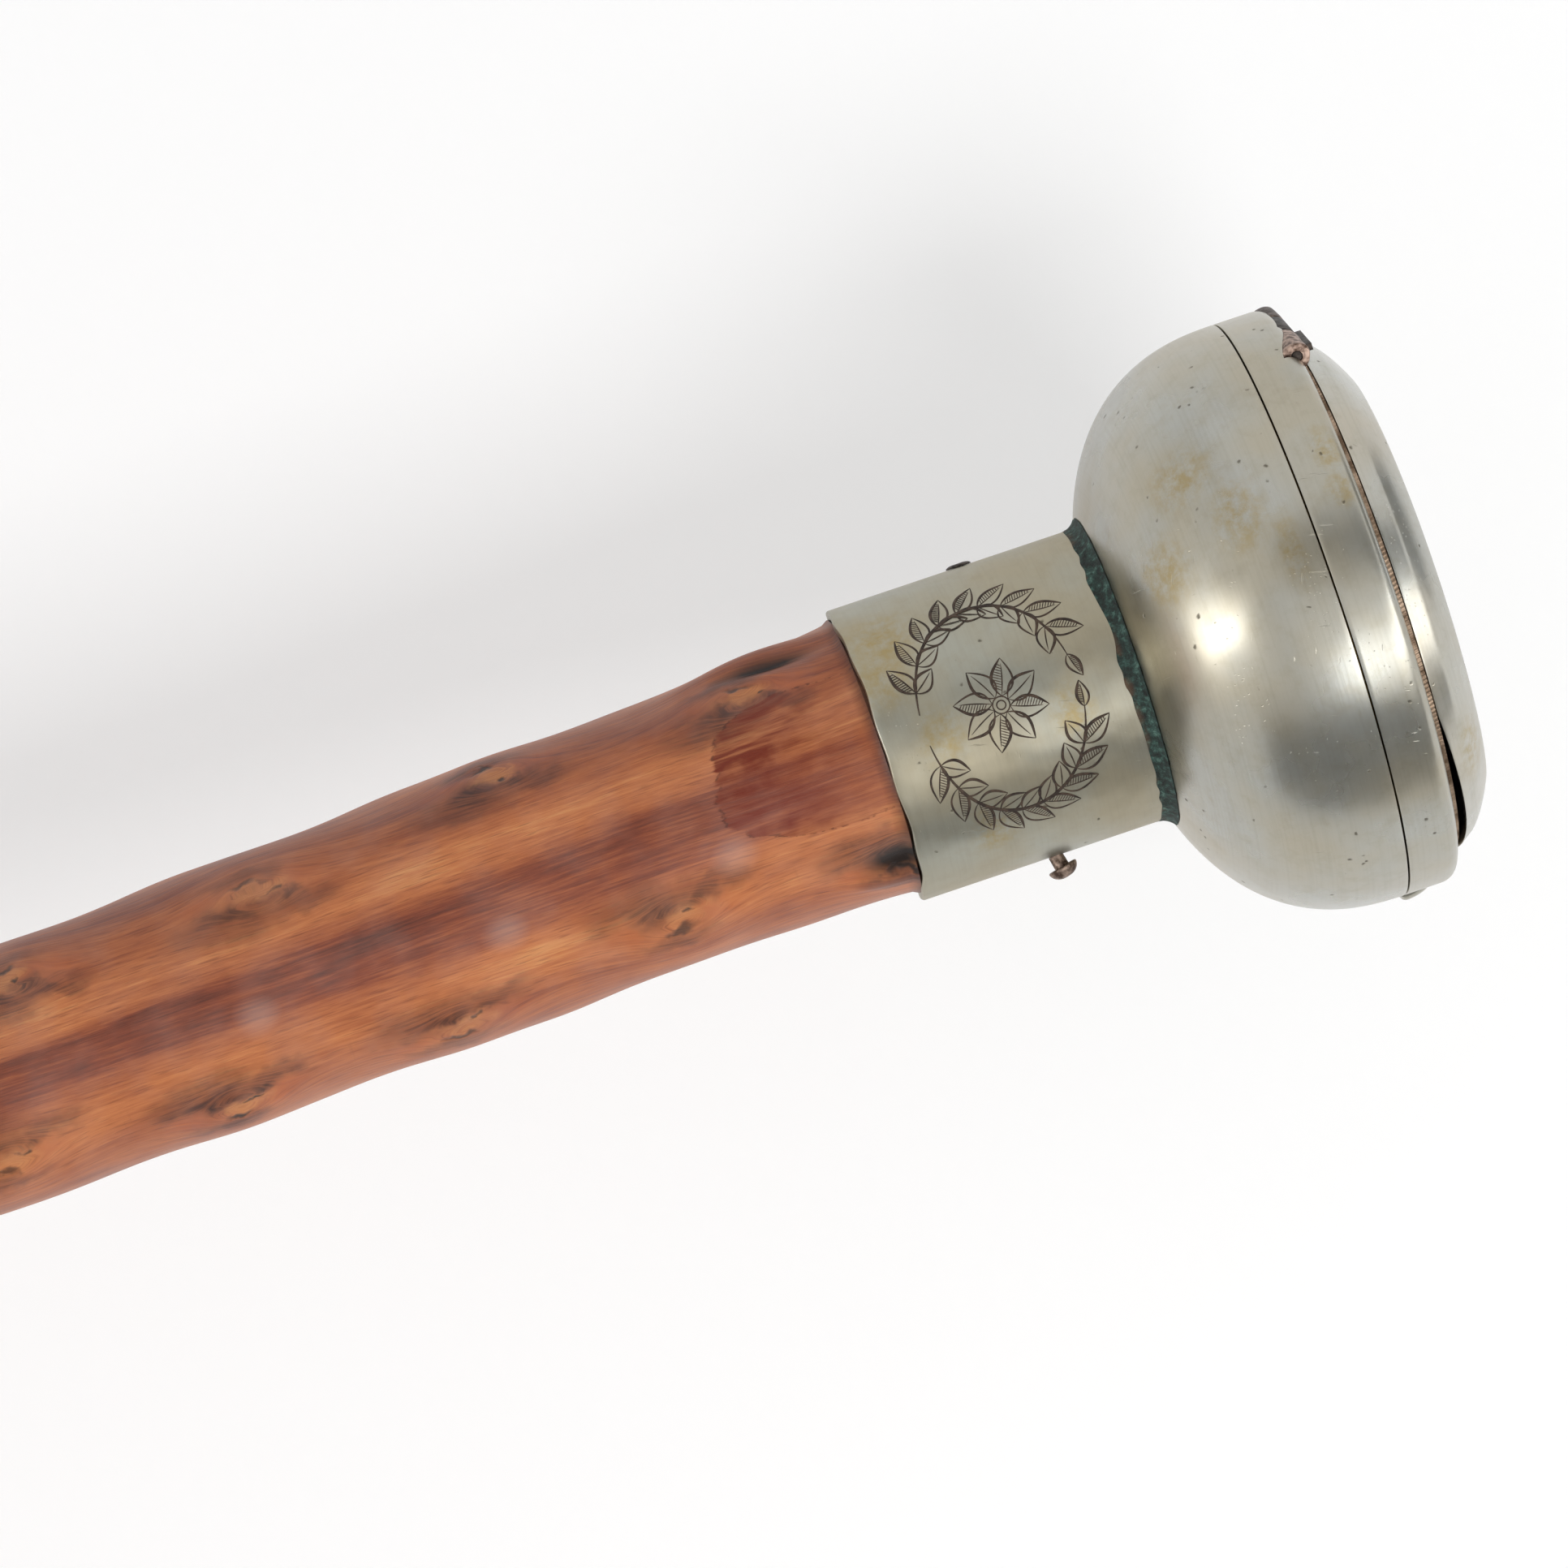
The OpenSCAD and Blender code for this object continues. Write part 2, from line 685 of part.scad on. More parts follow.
module dial_foot_places() {
    for (i = [0 : dial_foot_count - 1])
        at_polar(plate_r - dial_foot_inset, 360 * i / dial_foot_count, 0) children();
}

module dial() {
    color("ivory") at_head() translate([0, 0, dial_z]) difference() {
        cylinder(r = plate_r, h = dial_t);
        translate([0, 0, -overrun]) {
            cylinder(r = hour_pipe_r + dial_hole_gap, h = dial_t + 2 * overrun);
            at_polar(barrel_reach, barrel_turn, 0)
                cylinder(r = winding_r + winding_hole_gap, h = dial_t + 2 * overrun);
        }
    }
}

module dial_feet() {
    h = motion_h + main_plate_t;
    color("peru") at_head() dial_foot_places() translate([0, 0, dial_z - h]) cylinder(r = dial_foot_r, h = h);
}

// Spade hand along X with a hub at the origin
module hand(reach, hub_r, bore_r) {
    color("midnightblue") difference() {
        linear_extrude(hand_t) {
            polygon([
                [-reach * hand_tail_share, -hand_root_w / 2], [0, -hand_root_w / 2], [reach, -hand_point_w / 2],
                [reach, hand_point_w / 2], [0, hand_root_w / 2], [-reach * hand_tail_share, hand_root_w / 2]
            ]);
            circle(r = hub_r);
            translate([reach * hand_spade_share, 0]) circle(r = hand_spade_r);
        }
        translate([0, 0, -overrun]) cylinder(r = bore_r, h = hand_t + 2 * overrun);
    }
}

module hour_hand() {
    at_head() translate([0, 0, hour_hand_z()]) rotate(hour_angle)
        hand(plate_r * hour_hand_share, hour_pipe_r + hand_hub_wall, hour_pipe_r + fit_gap);
}

module minute_hand() {
    at_head() translate([0, 0, hand_z(minute_hand_lift)]) rotate(minute_angle)
        hand(plate_r * minute_hand_share, cannon_r + hand_hub_wall, arbor_r + fit_gap);
}

module balance_wheel() {
    z = top_plate_z - balance_drop - balance_t;
    color("gold") at_head() at_polar(balance_reach, balance_turn, z) drilled(staff_r + fit_gap, balance_t) {
        difference() {
            cylinder(r = balance_r, h = balance_t);
            translate([0, 0, -overrun]) cylinder(r = balance_r - balance_rim_w, h = balance_t + 2 * overrun);
        }
        translate([balance_rim_w / 2 - balance_r, -balance_arm_w / 2, 0])
            cube([2 * balance_r - balance_rim_w, balance_arm_w, balance_t]);
        cylinder(r = staff_hub_r, h = balance_t);
    }
}

module balance_staff() {
    foot = cock_z + cock_t - arbor_seat;
    color("steelblue") at_head() at_polar(balance_reach, balance_turn, foot)
        cylinder(r = staff_r, h = top_plate_z + arbor_seat - foot - fit_gap);
}

module balance_cock() {
    color("gold") at_head() rotate(balance_turn) translate([balance_reach, 0, cock_z]) difference() {
        union() {
            linear_extrude(cock_t) {
                circle(r = cock_table_r);
                polygon([
                    [0, -cock_table_r], [cock_reach, -cock_foot_r], [cock_reach, cock_foot_r], [0, cock_table_r]
                ]);
            }
            translate([cock_reach, 0, 0]) cylinder(r = cock_foot_r, h = top_plate_z - cock_z);
        }
        translate([0, 0, cock_t - arbor_seat]) cylinder(r = staff_r + run_gap, h = arbor_seat + overrun);
        translate([cock_reach, 0, -overrun])
            cylinder(r = screw_r + fit_gap, h = top_plate_z - cock_z + 2 * overrun);
    }
}

module bezel() {
    shoulder = bend(
        [knob_r, band_top - band_shoulder_h], [knob_r, band_top], [knob_r - band_shoulder_w, band_top], band_steps
    );
    color("silver") at_head() difference() {
        rotate_extrude() polygon(concat([[0, band_z], [knob_r, band_z]], shoulder, [[0, band_top]]));
        translate([0, 0, band_z - overrun])
            cylinder(r = ring_r + fit_gap, h = snap_h + snap_clear + overrun);
        translate([0, 0, glass_z]) cylinder(r = glass_r + fit_gap, h = band_h);
        translate([0, 0, band_z]) cylinder(r = glass_r - ledge_w, h = band_h);
        hinge_line(notch_len) cylinder(r = knuckle_r + fit_gap, h = notch_len);
        hinge_line(lid_knuckle_len + 2 * knuckle_gap)
            cylinder(r = leaf_sweep_r + swing_gap, h = lid_knuckle_len + 2 * knuckle_gap);
    }
}

module crystal() {
    face_z = glass_z + glass_t;
    color("lightcyan") at_head() rotate_extrude() polygon(concat(
        [[0, glass_z + glass_rise]],
        [for (i = [1 : glass_steps])
            dome_line(glass_r - ledge_w, glass_z, glass_rise, glass_steps)[i]],
        [[glass_r, glass_z], [glass_r, face_z]],
        [for (i = [0 : glass_steps])
            dome_line(glass_r - ledge_w, face_z, glass_rise, glass_steps)[glass_steps - i]]
    ));
}

// Lip on the band's side, thickest just above the seam
module thumb_lip() {
    spread = lip_w / knob_r * 180 / PI;
    root_r = knob_r + fit_gap;
    tip_r = knob_r + lip_proud;
    color("silver") at_head() rotate(-spread / 2) rotate_extrude(angle = spread) polygon([
        [root_r, band_z], [tip_r, band_z], [tip_r, band_z + band_h * lip_foot_share],
        [root_r, band_z + band_h * lip_top_share]
    ]);
}

// Milled ring on the band's top, just inside the lid's edge
module milled_bead() {
    color("darkkhaki") at_head() translate([lid_shift, 0, band_top]) difference() {
        cylinder(r = bead_r, h = bead_h);
        translate([0, 0, -overrun]) cylinder(r = bead_r - bead_w, h = bead_h + 2 * overrun);
    }
}

// Places a cylinder of the given length along the hinge's axis, centred on it
module hinge_line(length) {
    translate([-hinge_x, length / 2, hinge_z]) rotate([90, 0, 0]) children();
}

module bezel_knuckles() {
    color("rosybrown") at_head() for (side = [-1, 1])
        translate([0, side * (hinge_len - outer_knuckle_len) / 2, 0])
        hinge_line(outer_knuckle_len) difference() {
            cylinder(r = knuckle_r, h = outer_knuckle_len);
            translate([0, 0, -overrun])
                cylinder(d = hinge_pin_d + 2 * fit_gap, h = outer_knuckle_len + 2 * overrun);
        }
}

module hinge_pin() {
    color("dimgray") at_head() hinge_line(hinge_len) cylinder(d = hinge_pin_d, h = hinge_len);
}

// Middle knuckle, with a leaf that laps up the lid's side
module lid_knuckle() {
    color("silver") at_head() difference() {
        union() {
            hinge_line(lid_knuckle_len) cylinder(r = knuckle_r, h = lid_knuckle_len);
            translate([-lid_edge_x - leaf_t, -lid_knuckle_len / 2, hinge_z])
                cube([leaf_t * 2, lid_knuckle_len, lid_z + leaf_h - hinge_z]);
        }
        translate([lid_shift, 0, 0]) cylinder(r = lid_r + fit_gap, h = lid_z + leaf_h + overrun);
        hinge_line(lid_knuckle_len + 2 * overrun)
            cylinder(d = hinge_pin_d + 2 * run_gap, h = lid_knuckle_len + 2 * overrun);
    }
}

// Cylinder whose crown cuts the shallow thumbnail notch into the lid's edge
module nail_notch() {
    rotate(nail_turn) translate([0, 0, lid_z + nail_notch_h - nail_cut_r])
        rotate([0, 90, 0]) cylinder(r = nail_cut_r, h = knob_d);
}

module lid() {
    color("silver") at_head() translate([lid_shift, 0, 0]) difference() {
        rotate_extrude() polygon(concat([[0, lid_z]], lid_line(0)));
        translate([0, 0, -fit_gap]) rotate_extrude() polygon(concat([[0, lid_z]], lid_line(lid_wall)));
        nail_notch();
    }
}

shaft();
tip_ferrule();
tip_plug();
collar();
collar_pin();
collar_rivet();
solder_fillet();
bowl();
case_ring();
main_plate();
top_plate();
plate_pillars();
plate_screws();
case_screws();
mainspring_barrel();
winding_arbor();
centre_arbor();
cannon_pinion();
minute_wheel();
minute_stud();
hour_wheel();
dial();
dial_feet();
hour_hand();
minute_hand();
balance_wheel();
balance_staff();
balance_cock();
bezel();
crystal();
thumb_lip();
milled_bead();
bezel_knuckles();
hinge_pin();
lid();
lid_knuckle();
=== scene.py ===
"""Looks of a watch-head walking stick: knotted wood, a nickel-silver knob with a hinged lid, and a watch."""

import math
from functools import partial

import bmesh
import bpy
import numpy as np
from mathutils import Matrix, Vector


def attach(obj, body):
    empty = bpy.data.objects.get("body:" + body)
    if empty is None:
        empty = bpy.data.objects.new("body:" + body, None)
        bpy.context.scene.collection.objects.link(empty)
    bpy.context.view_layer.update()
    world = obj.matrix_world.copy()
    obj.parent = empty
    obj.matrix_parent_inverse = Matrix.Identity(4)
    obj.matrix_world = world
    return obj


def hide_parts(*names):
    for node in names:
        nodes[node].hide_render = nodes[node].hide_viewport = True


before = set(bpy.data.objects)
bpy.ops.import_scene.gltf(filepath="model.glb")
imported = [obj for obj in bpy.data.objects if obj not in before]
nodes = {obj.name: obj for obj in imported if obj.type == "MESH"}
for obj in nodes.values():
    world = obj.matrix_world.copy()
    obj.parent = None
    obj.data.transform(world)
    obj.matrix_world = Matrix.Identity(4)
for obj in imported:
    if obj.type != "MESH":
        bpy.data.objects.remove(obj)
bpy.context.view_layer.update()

MM = 0.001
HEAD = 850.0  # height of the collar's lower edge; head heights below are given above it
TIP = 32.0  # top of the tip ferrule
RUN = HEAD - TIP  # length of bare wood
FRONT = -106.0  # angle round the stick that faces the photograph's camera
PINS = -16.0  # angle of the collar's proud pin, and of the shaft's bow
PHOTO_LEAN = math.radians(18.6)  # how far the stick rises to the right in the photograph
FAR = 1e6  # a half size without end, for marks that are flat
COLLAR_R, COLLAR_TOP = 12.65, 22.2
KNOB_R, BOWL_RIM = 25.0, 38.2
BAND_FOOT, BAND_TOP = 38.32, 43.02
SNAP_R = 23.4  # bore for the case ring
SEAT_R, SEAT = 20.84, 41.32  # bore and height of the ledge that the glass lies on
HINGE_X, HINGE_UP, HINGE_LONG = -23.15, 42.57, 16.0
KNUCKLE_R, KNUCKLE_BORE, KNUCKLE_LONG, KNUCKLE_MID = 1.15, 0.49, 5.4, 5.3  # the two outer knuckles
LID_KNUCKLE_LONG, LID_R = 5.0, 22.3


# Mesh helpers


def placed(name, data):
    """A new object in the scene."""
    made = bpy.data.objects.new(name, data)
    bpy.context.scene.collection.objects.link(made)
    return made


def as_mesh(name, bm):
    """The mesh of a bmesh, which is freed."""
    mesh = bpy.data.meshes.new(name)
    bm.to_mesh(mesh)
    bm.free()
    return mesh


def as_bmesh(mesh):
    """The bmesh of a mesh, which is removed."""
    bm = bmesh.new()
    bm.from_mesh(mesh)
    bpy.data.meshes.remove(mesh)
    return bm


def evaluated(carrier):
    """The mesh that an object's curve, text or modifiers give. The object is removed."""
    mesh = bpy.data.meshes.new_from_object(carrier.evaluated_get(bpy.context.evaluated_depsgraph_get()))
    bpy.data.objects.remove(carrier)
    return mesh


def keep(name, bm, finish, body, replaced, smooth=40):
    """Makes a finished piece of a bmesh given in millimetres, on its body, in place of CAD nodes."""
    bmesh.ops.scale(bm, vec=(MM, MM, MM), verts=bm.verts)
    keep_mesh(name, as_mesh(name, bm), finish, body, replaced, smooth)


def keep_mesh(name, mesh, finish, body, replaced, smooth):
    """Makes a finished piece of a mesh in metres."""
    piece = placed(name, mesh)
    mesh.materials.clear()
    mesh.materials.append(finish)
    mesh.shade_smooth()
    mesh.set_sharp_from_angle(angle=math.radians(smooth))
    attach(piece, body)
    if replaced:
        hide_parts(*replaced)


def turned(line, steps, closed=True, angle=360.0):
    """A bmesh turned on the stick's axis from a line of (radius, height) points."""
    bm = bmesh.new()
    corners = [bm.verts.new((r, 0, z)) for r, z in line]
    pairs = list(zip(corners, corners[1:])) + ([(corners[-1], corners[0])] if closed else [])
    edges = [bm.edges.new(pair) for pair in pairs]
    full = angle == 360.0
    bmesh.ops.spin(bm, geom=corners + edges, cent=(0, 0, 0), axis=(0, 0, 1), angle=math.radians(angle),
                   steps=steps, use_merge=full)
    bmesh.ops.remove_doubles(bm, verts=bm.verts, dist=1e-4)
    bmesh.ops.dissolve_degenerate(bm, edges=bm.edges, dist=1e-5)
    bmesh.ops.recalc_face_normals(bm, faces=bm.faces)
    return bm


def soften(bm, width, segments, sharper=35.0):
    """Bevels every edge whose faces meet at more than an angle."""
    sharp = [e for e in bm.edges if len(e.link_faces) == 2 and e.calc_face_angle() > math.radians(sharper)]
    bmesh.ops.bevel(bm, geom=sharp, offset=width, segments=segments, profile=0.5, affect="EDGES", material=-1,
                    clamp_overlap=True)
    return bm


def sewn(bm):
    """Merges the corners that a cut or a bevel leaves all but on top of each other."""
    bmesh.ops.remove_doubles(bm, verts=bm.verts, dist=0.004)
    bmesh.ops.dissolve_degenerate(bm, edges=bm.edges, dist=0.002)
    return bm


def spaced(a, b, count):
    """Points along a straight line, without its first."""
    return [(a[0] + (b[0] - a[0]) * i / count, a[1] + (b[1] - a[1]) * i / count) for i in range(1, count + 1)]


def bend(start, corner, end, count):
    """Points along a quadratic bend, first and last ones too."""
    return [tuple((1 - t) ** 2 * a + 2 * t * (1 - t) * c + t * t * b for a, c, b in zip(start, corner, end))
            for t in (i / count for i in range(count + 1))]


def lifted(line):
    """A line whose heights are given above the collar's lower edge."""
    return [(r, z + HEAD) for r, z in line]


def polar(radius, angle, height):
    """A place by its distance from the stick's axis, its angle in degrees and its height."""
    a = math.radians(angle)
    return Vector((radius * math.cos(a), radius * math.sin(a), height))


def on_face(angle, height, radius):
    """A place on a turned face of the head, for stains, pits and dents."""
    return polar(radius, angle, height + HEAD)


def bell(x):
    """A smooth hump that is 1 at zero."""
    return np.exp(-x * x)


def fade(x):
    """A smooth step from 1 well below zero to 0 well above it."""
    return 0.5 - 0.5 * np.tanh(x / 2)


def rod(radius, start, end, sides, taper=1.0):
    """A capped cylinder between two points."""
    bm = bmesh.new()
    way = end - start
    bmesh.ops.create_cone(bm, cap_ends=True, segments=sides, radius1=radius, radius2=radius * taper,
                          depth=way.length)
    turn = way.to_track_quat("Z", "Y").to_matrix().to_4x4()
    bmesh.ops.transform(bm, matrix=Matrix.Translation((start + end) / 2) @ turn, verts=bm.verts)
    return bm


def shift(bm, way):
    """Moves a bmesh."""
    bmesh.ops.translate(bm, vec=way, verts=bm.verts)


def turn_by(bm, degrees):
    """Turns a bmesh round the stick's axis."""
    turn = Matrix.Rotation(math.radians(degrees), 3, "Z")
    bmesh.ops.rotate(bm, cent=(0, 0, 0), matrix=turn, verts=bm.verts)


def joined(*parts):
    """One bmesh of several."""
    whole = bmesh.new()
    for part in parts:
        copy = as_mesh("part", part)
        whole.from_mesh(copy)
        bpy.data.meshes.remove(copy)
    return whole


def dent(bm, place, reach, depth):
    """Pushes the surface near a place in along its normals, as a knock would."""
    bm.normal_update()
    for v in bm.verts:
        away = (v.co - place).length / reach
        if away < 2.2:
            v.co -= v.normal * depth * math.exp(-away * away)


# Materials


def linear(code):
    """A colour from its sRGB hex code."""
    parts = [int(code[i:i + 2], 16) / 255 for i in (1, 3, 5)]
    return tuple(c / 12.92 if c <= 0.04045 else ((c + 0.055) / 1.055) ** 2.4 for c in parts) + (1.0,)


OF_COLOURS = {"out": "Result", "data_type": "RGBA"}  # makes a Mix node mix colours


def add(tree, kind, sockets=None, out=0, stops=(), **settings):
    """Adds a node with its settings, colour stops and links, and gives back one of its outputs."""
    made = tree.nodes.new("ShaderNode" + kind)
    for name, value in settings.items():
        setattr(made, name, value)
    for i, (at, code) in enumerate(stops):
        bar = made.color_ramp.elements
        stop = bar[i] if i < len(bar) else bar.new(at)
        stop.position = at
        stop.color = linear(code)
    for socket, value in (sockets or {}).items():
        if isinstance(value, bpy.types.NodeSocket):
            tree.links.new(value, made.inputs[socket])
        else:
            made.inputs[socket].default_value = value
    return made.outputs[out]


def material(name, **values):
    """A material with its shader's own sockets set, what adds nodes to it, and places in millimetres."""
    made = bpy.data.materials.new(name)
    made.use_nodes = True
    for socket, value in values.items():
        made.node_tree.nodes["Principled BSDF"].inputs[socket.replace("_", " ")].default_value = value
    node = partial(add, made.node_tree)
    mm = node("VectorMath", {0: node("TexCoord", out="Object"), "Scale": 1 / MM}, operation="SCALE")
    return made, node, mm


def finished(made, **ends):
    """The material, with these outputs linked to its shader's sockets."""
    tree = made.node_tree
    for socket, end in ends.items():
        tree.links.new(end, tree.nodes["Principled BSDF"].inputs[socket.replace("_", " ")])
    return made


def patches(node, mm, places, soft):
    """A mask that is 1 inside any of some ellipsoids, by centre and half sizes, and fades to their skins."""
    top = 0.0
    for centre, size in places:
        moved = node("VectorMath", {0: mm, 1: tuple(centre)}, operation="SUBTRACT")
        scaled = node("VectorMath", {0: moved, 1: tuple(size)}, operation="DIVIDE")
        far = node("VectorMath", {0: scaled}, "Value", operation="LENGTH")
        inside = node("MapRange", {"Value": far, "From Min": 1.0, "From Max": 1.0 - soft},
                      interpolation_type="SMOOTHSTEP")
        top = node("Math", {0: top, 1: inside}, operation="MAXIMUM")
    return top


def nickel_silver(name, warm="#AFA999", cool="#ADADA6", gloss=(0.25, 0.33), stains=(), pits=(), shade_spots=(),
                  wave_mm=7.0, wave_high=3.0, pitting=1.0):
    """Nickel silver, spun and rubbed to a satin: a warm grey metal with fine marks round its turning, short
    scratches, small round pits, and straw-coloured stains where its plate has worn. Stains and pits are rows
    of angle, height, radius, half width and half height."""
    made, node, mm = material(name, Metallic=1.0)

    def marked(rows, soft):
        places = [(on_face(*at), (wide, wide, high)) for *at, wide, high in rows]
        return patches(node, mm, places, soft)

    cloud = node("TexNoise", {"Vector": mm, "Scale": 1 / 9.0, "Detail": 3.0})
    colour = node("ValToRGB", {"Fac": cloud}, stops=((0.36, cool), (0.64, warm)))
    mottle = node("TexNoise", {"Vector": mm, "Scale": 1 / 1.5, "Detail": 4.0, "Roughness": 0.65})
    dull = node("MapRange", {"Value": mottle, "From Min": 0.48, "From Max": 0.76, "To Max": 0.38})

    # Turning marks a quarter of a millimetre wide and about ten long, as coarse as they need to be to show
    x, y, z = node("SeparateXYZ", {0: mm}).node.outputs
    squares = [node("Math", {0: part, 1: part}, operation="MULTIPLY") for part in (x, y)]
    out = node("Math", dict(enumerate(squares)), operation="ADD")
    out = node("Math", {0: out}, operation="SQRT")
    turn = node("Math", {0: y, 1: x}, operation="ARCTAN2")
    turn = node("Math", {0: turn, 1: 0.6}, operation="MULTIPLY")
    turning = node("CombineXYZ", {"X": out, "Y": z, "Z": turn})
    spun = node("TexNoise", {"Vector": turning, "Scale": 1 / 0.25, "Detail": 2.0})
    combed = node("MapRange", {"Value": spun, "From Min": 0.45, "From Max": 0.72, "To Max": 0.15})

    worn = node("TexNoise", {"Vector": mm, "Scale": 1 / 1.1, "Detail": 4.0, "Roughness": 0.7})
    straw = node("MapRange", {"Value": worn, "From Min": 0.36, "From Max": 0.64, "To Max": 0.66})
    straw = node("Math", {0: straw, 1: marked(stains, 0.85)}, operation="MULTIPLY")
    # Painted shade in the patches named, darkening the metal there
    painted_shade_share = node("Math", {0: patches(node, mm, shade_spots, 0.7), 1: 0.7}, operation="MULTIPLY")

    # Round pits about a third of a millimetre across, thrown thinly in clusters and thickly where named
    shake = node("TexNoise", {"Vector": mm, "Scale": 1 / 0.5}, "Color")
    shaken = node("VectorMath", {0: shake, 1: (0.35, 0.35, 0.35), 2: mm}, operation="MULTIPLY_ADD")
    dots = node("TexVoronoi", {"Vector": shaken, "Scale": 1 / 0.8}, "Distance")
    lot = node("SeparateXYZ", {0: dots.node.outputs["Color"]}, "X")
    cluster = node("TexNoise", {"Vector": mm, "Scale": 1 / 5.0, "Detail": 2.0})
    chance = node("MapRange", {"Value": cluster, "From Min": 0.50, "From Max": 0.66,
                               "To Max": 0.20 * pitting})
    bitten = node("Math", {0: marked(pits, 0.8), 1: 0.6}, operation="MULTIPLY")
    chance = node("Math", {0: chance, 1: bitten}, operation="MAXIMUM")
    chosen = node("Math", {0: lot, 1: chance}, operation="LESS_THAN")
    pitted = node("MapRange", {"Value": dots, "From Min": 0.30, "From Max": 0.08, "To Max": 0.75},
                  interpolation_type="SMOOTHSTEP")
    pitted = node("Math", {0: pitted, 1: chosen}, operation="MULTIPLY")
    for share, code in ((dull, "#9A937E"), (combed, "#8E8A7B"), (straw, "#A08A52"), (painted_shade_share, "#4A4438"),
                        (pitted, "#5B5548")):
        colour = node("Mix", {"Factor": share, "A": colour, "B": linear(code)}, **OF_COLOURS)

    # Straight scratches two millimetres long and a tenth wide, laid three ways
    scuffs = 0.0
    for lean in ((0, 0.3, -0.28), (0, -1.3, -0.28), (0, 0.5, 1.2)):
        laid = node("Mapping", {"Vector": mm, "Rotation": lean, "Scale": (7.0, 0.4, 0.4)},
                    vector_type="TEXTURE")
        hair = node("TexVoronoi", {"Vector": laid, "Scale": 1.0}, "Distance")
        lot = node("SeparateXYZ", {0: hair.node.outputs["Color"]}, "X")
        chosen = node("Math", {0: lot, 1: 0.22}, operation="LESS_THAN")
        thin = node("MapRange", {"Value": hair, "From Min": 0.16, "From Max": 0.06},
                    interpolation_type="SMOOTHSTEP")
        cut = node("Math", {0: thin, 1: chosen}, operation="MULTIPLY")
        scuffs = node("Math", {0: scuffs, 1: cut}, operation="MAXIMUM")

    satin = node("MapRange", {"Value": cloud, "From Min": 0.3, "From Max": 0.7,
                              "To Min": gloss[0], "To Max": gloss[1]})
    satin = node("Math", {0: pitted, 1: 0.3, 2: satin}, operation="MULTIPLY_ADD")
    wave = node("TexNoise", {"Vector": mm, "Scale": 1 / wave_mm, "Detail": 1.0})
    height = 0.0
    for part, weight in ((spun, 0.10), (pitted, -1.0), (scuffs, -0.35), (wave, wave_high)):
        height = node("Math", {0: part, 1: weight, 2: height}, operation="MULTIPLY_ADD")
    bump = node("Bump", {"Height": height, "Distance": 0.035 * MM})
    return finished(made, Base_Color=colour, Roughness=satin, Normal=bump)


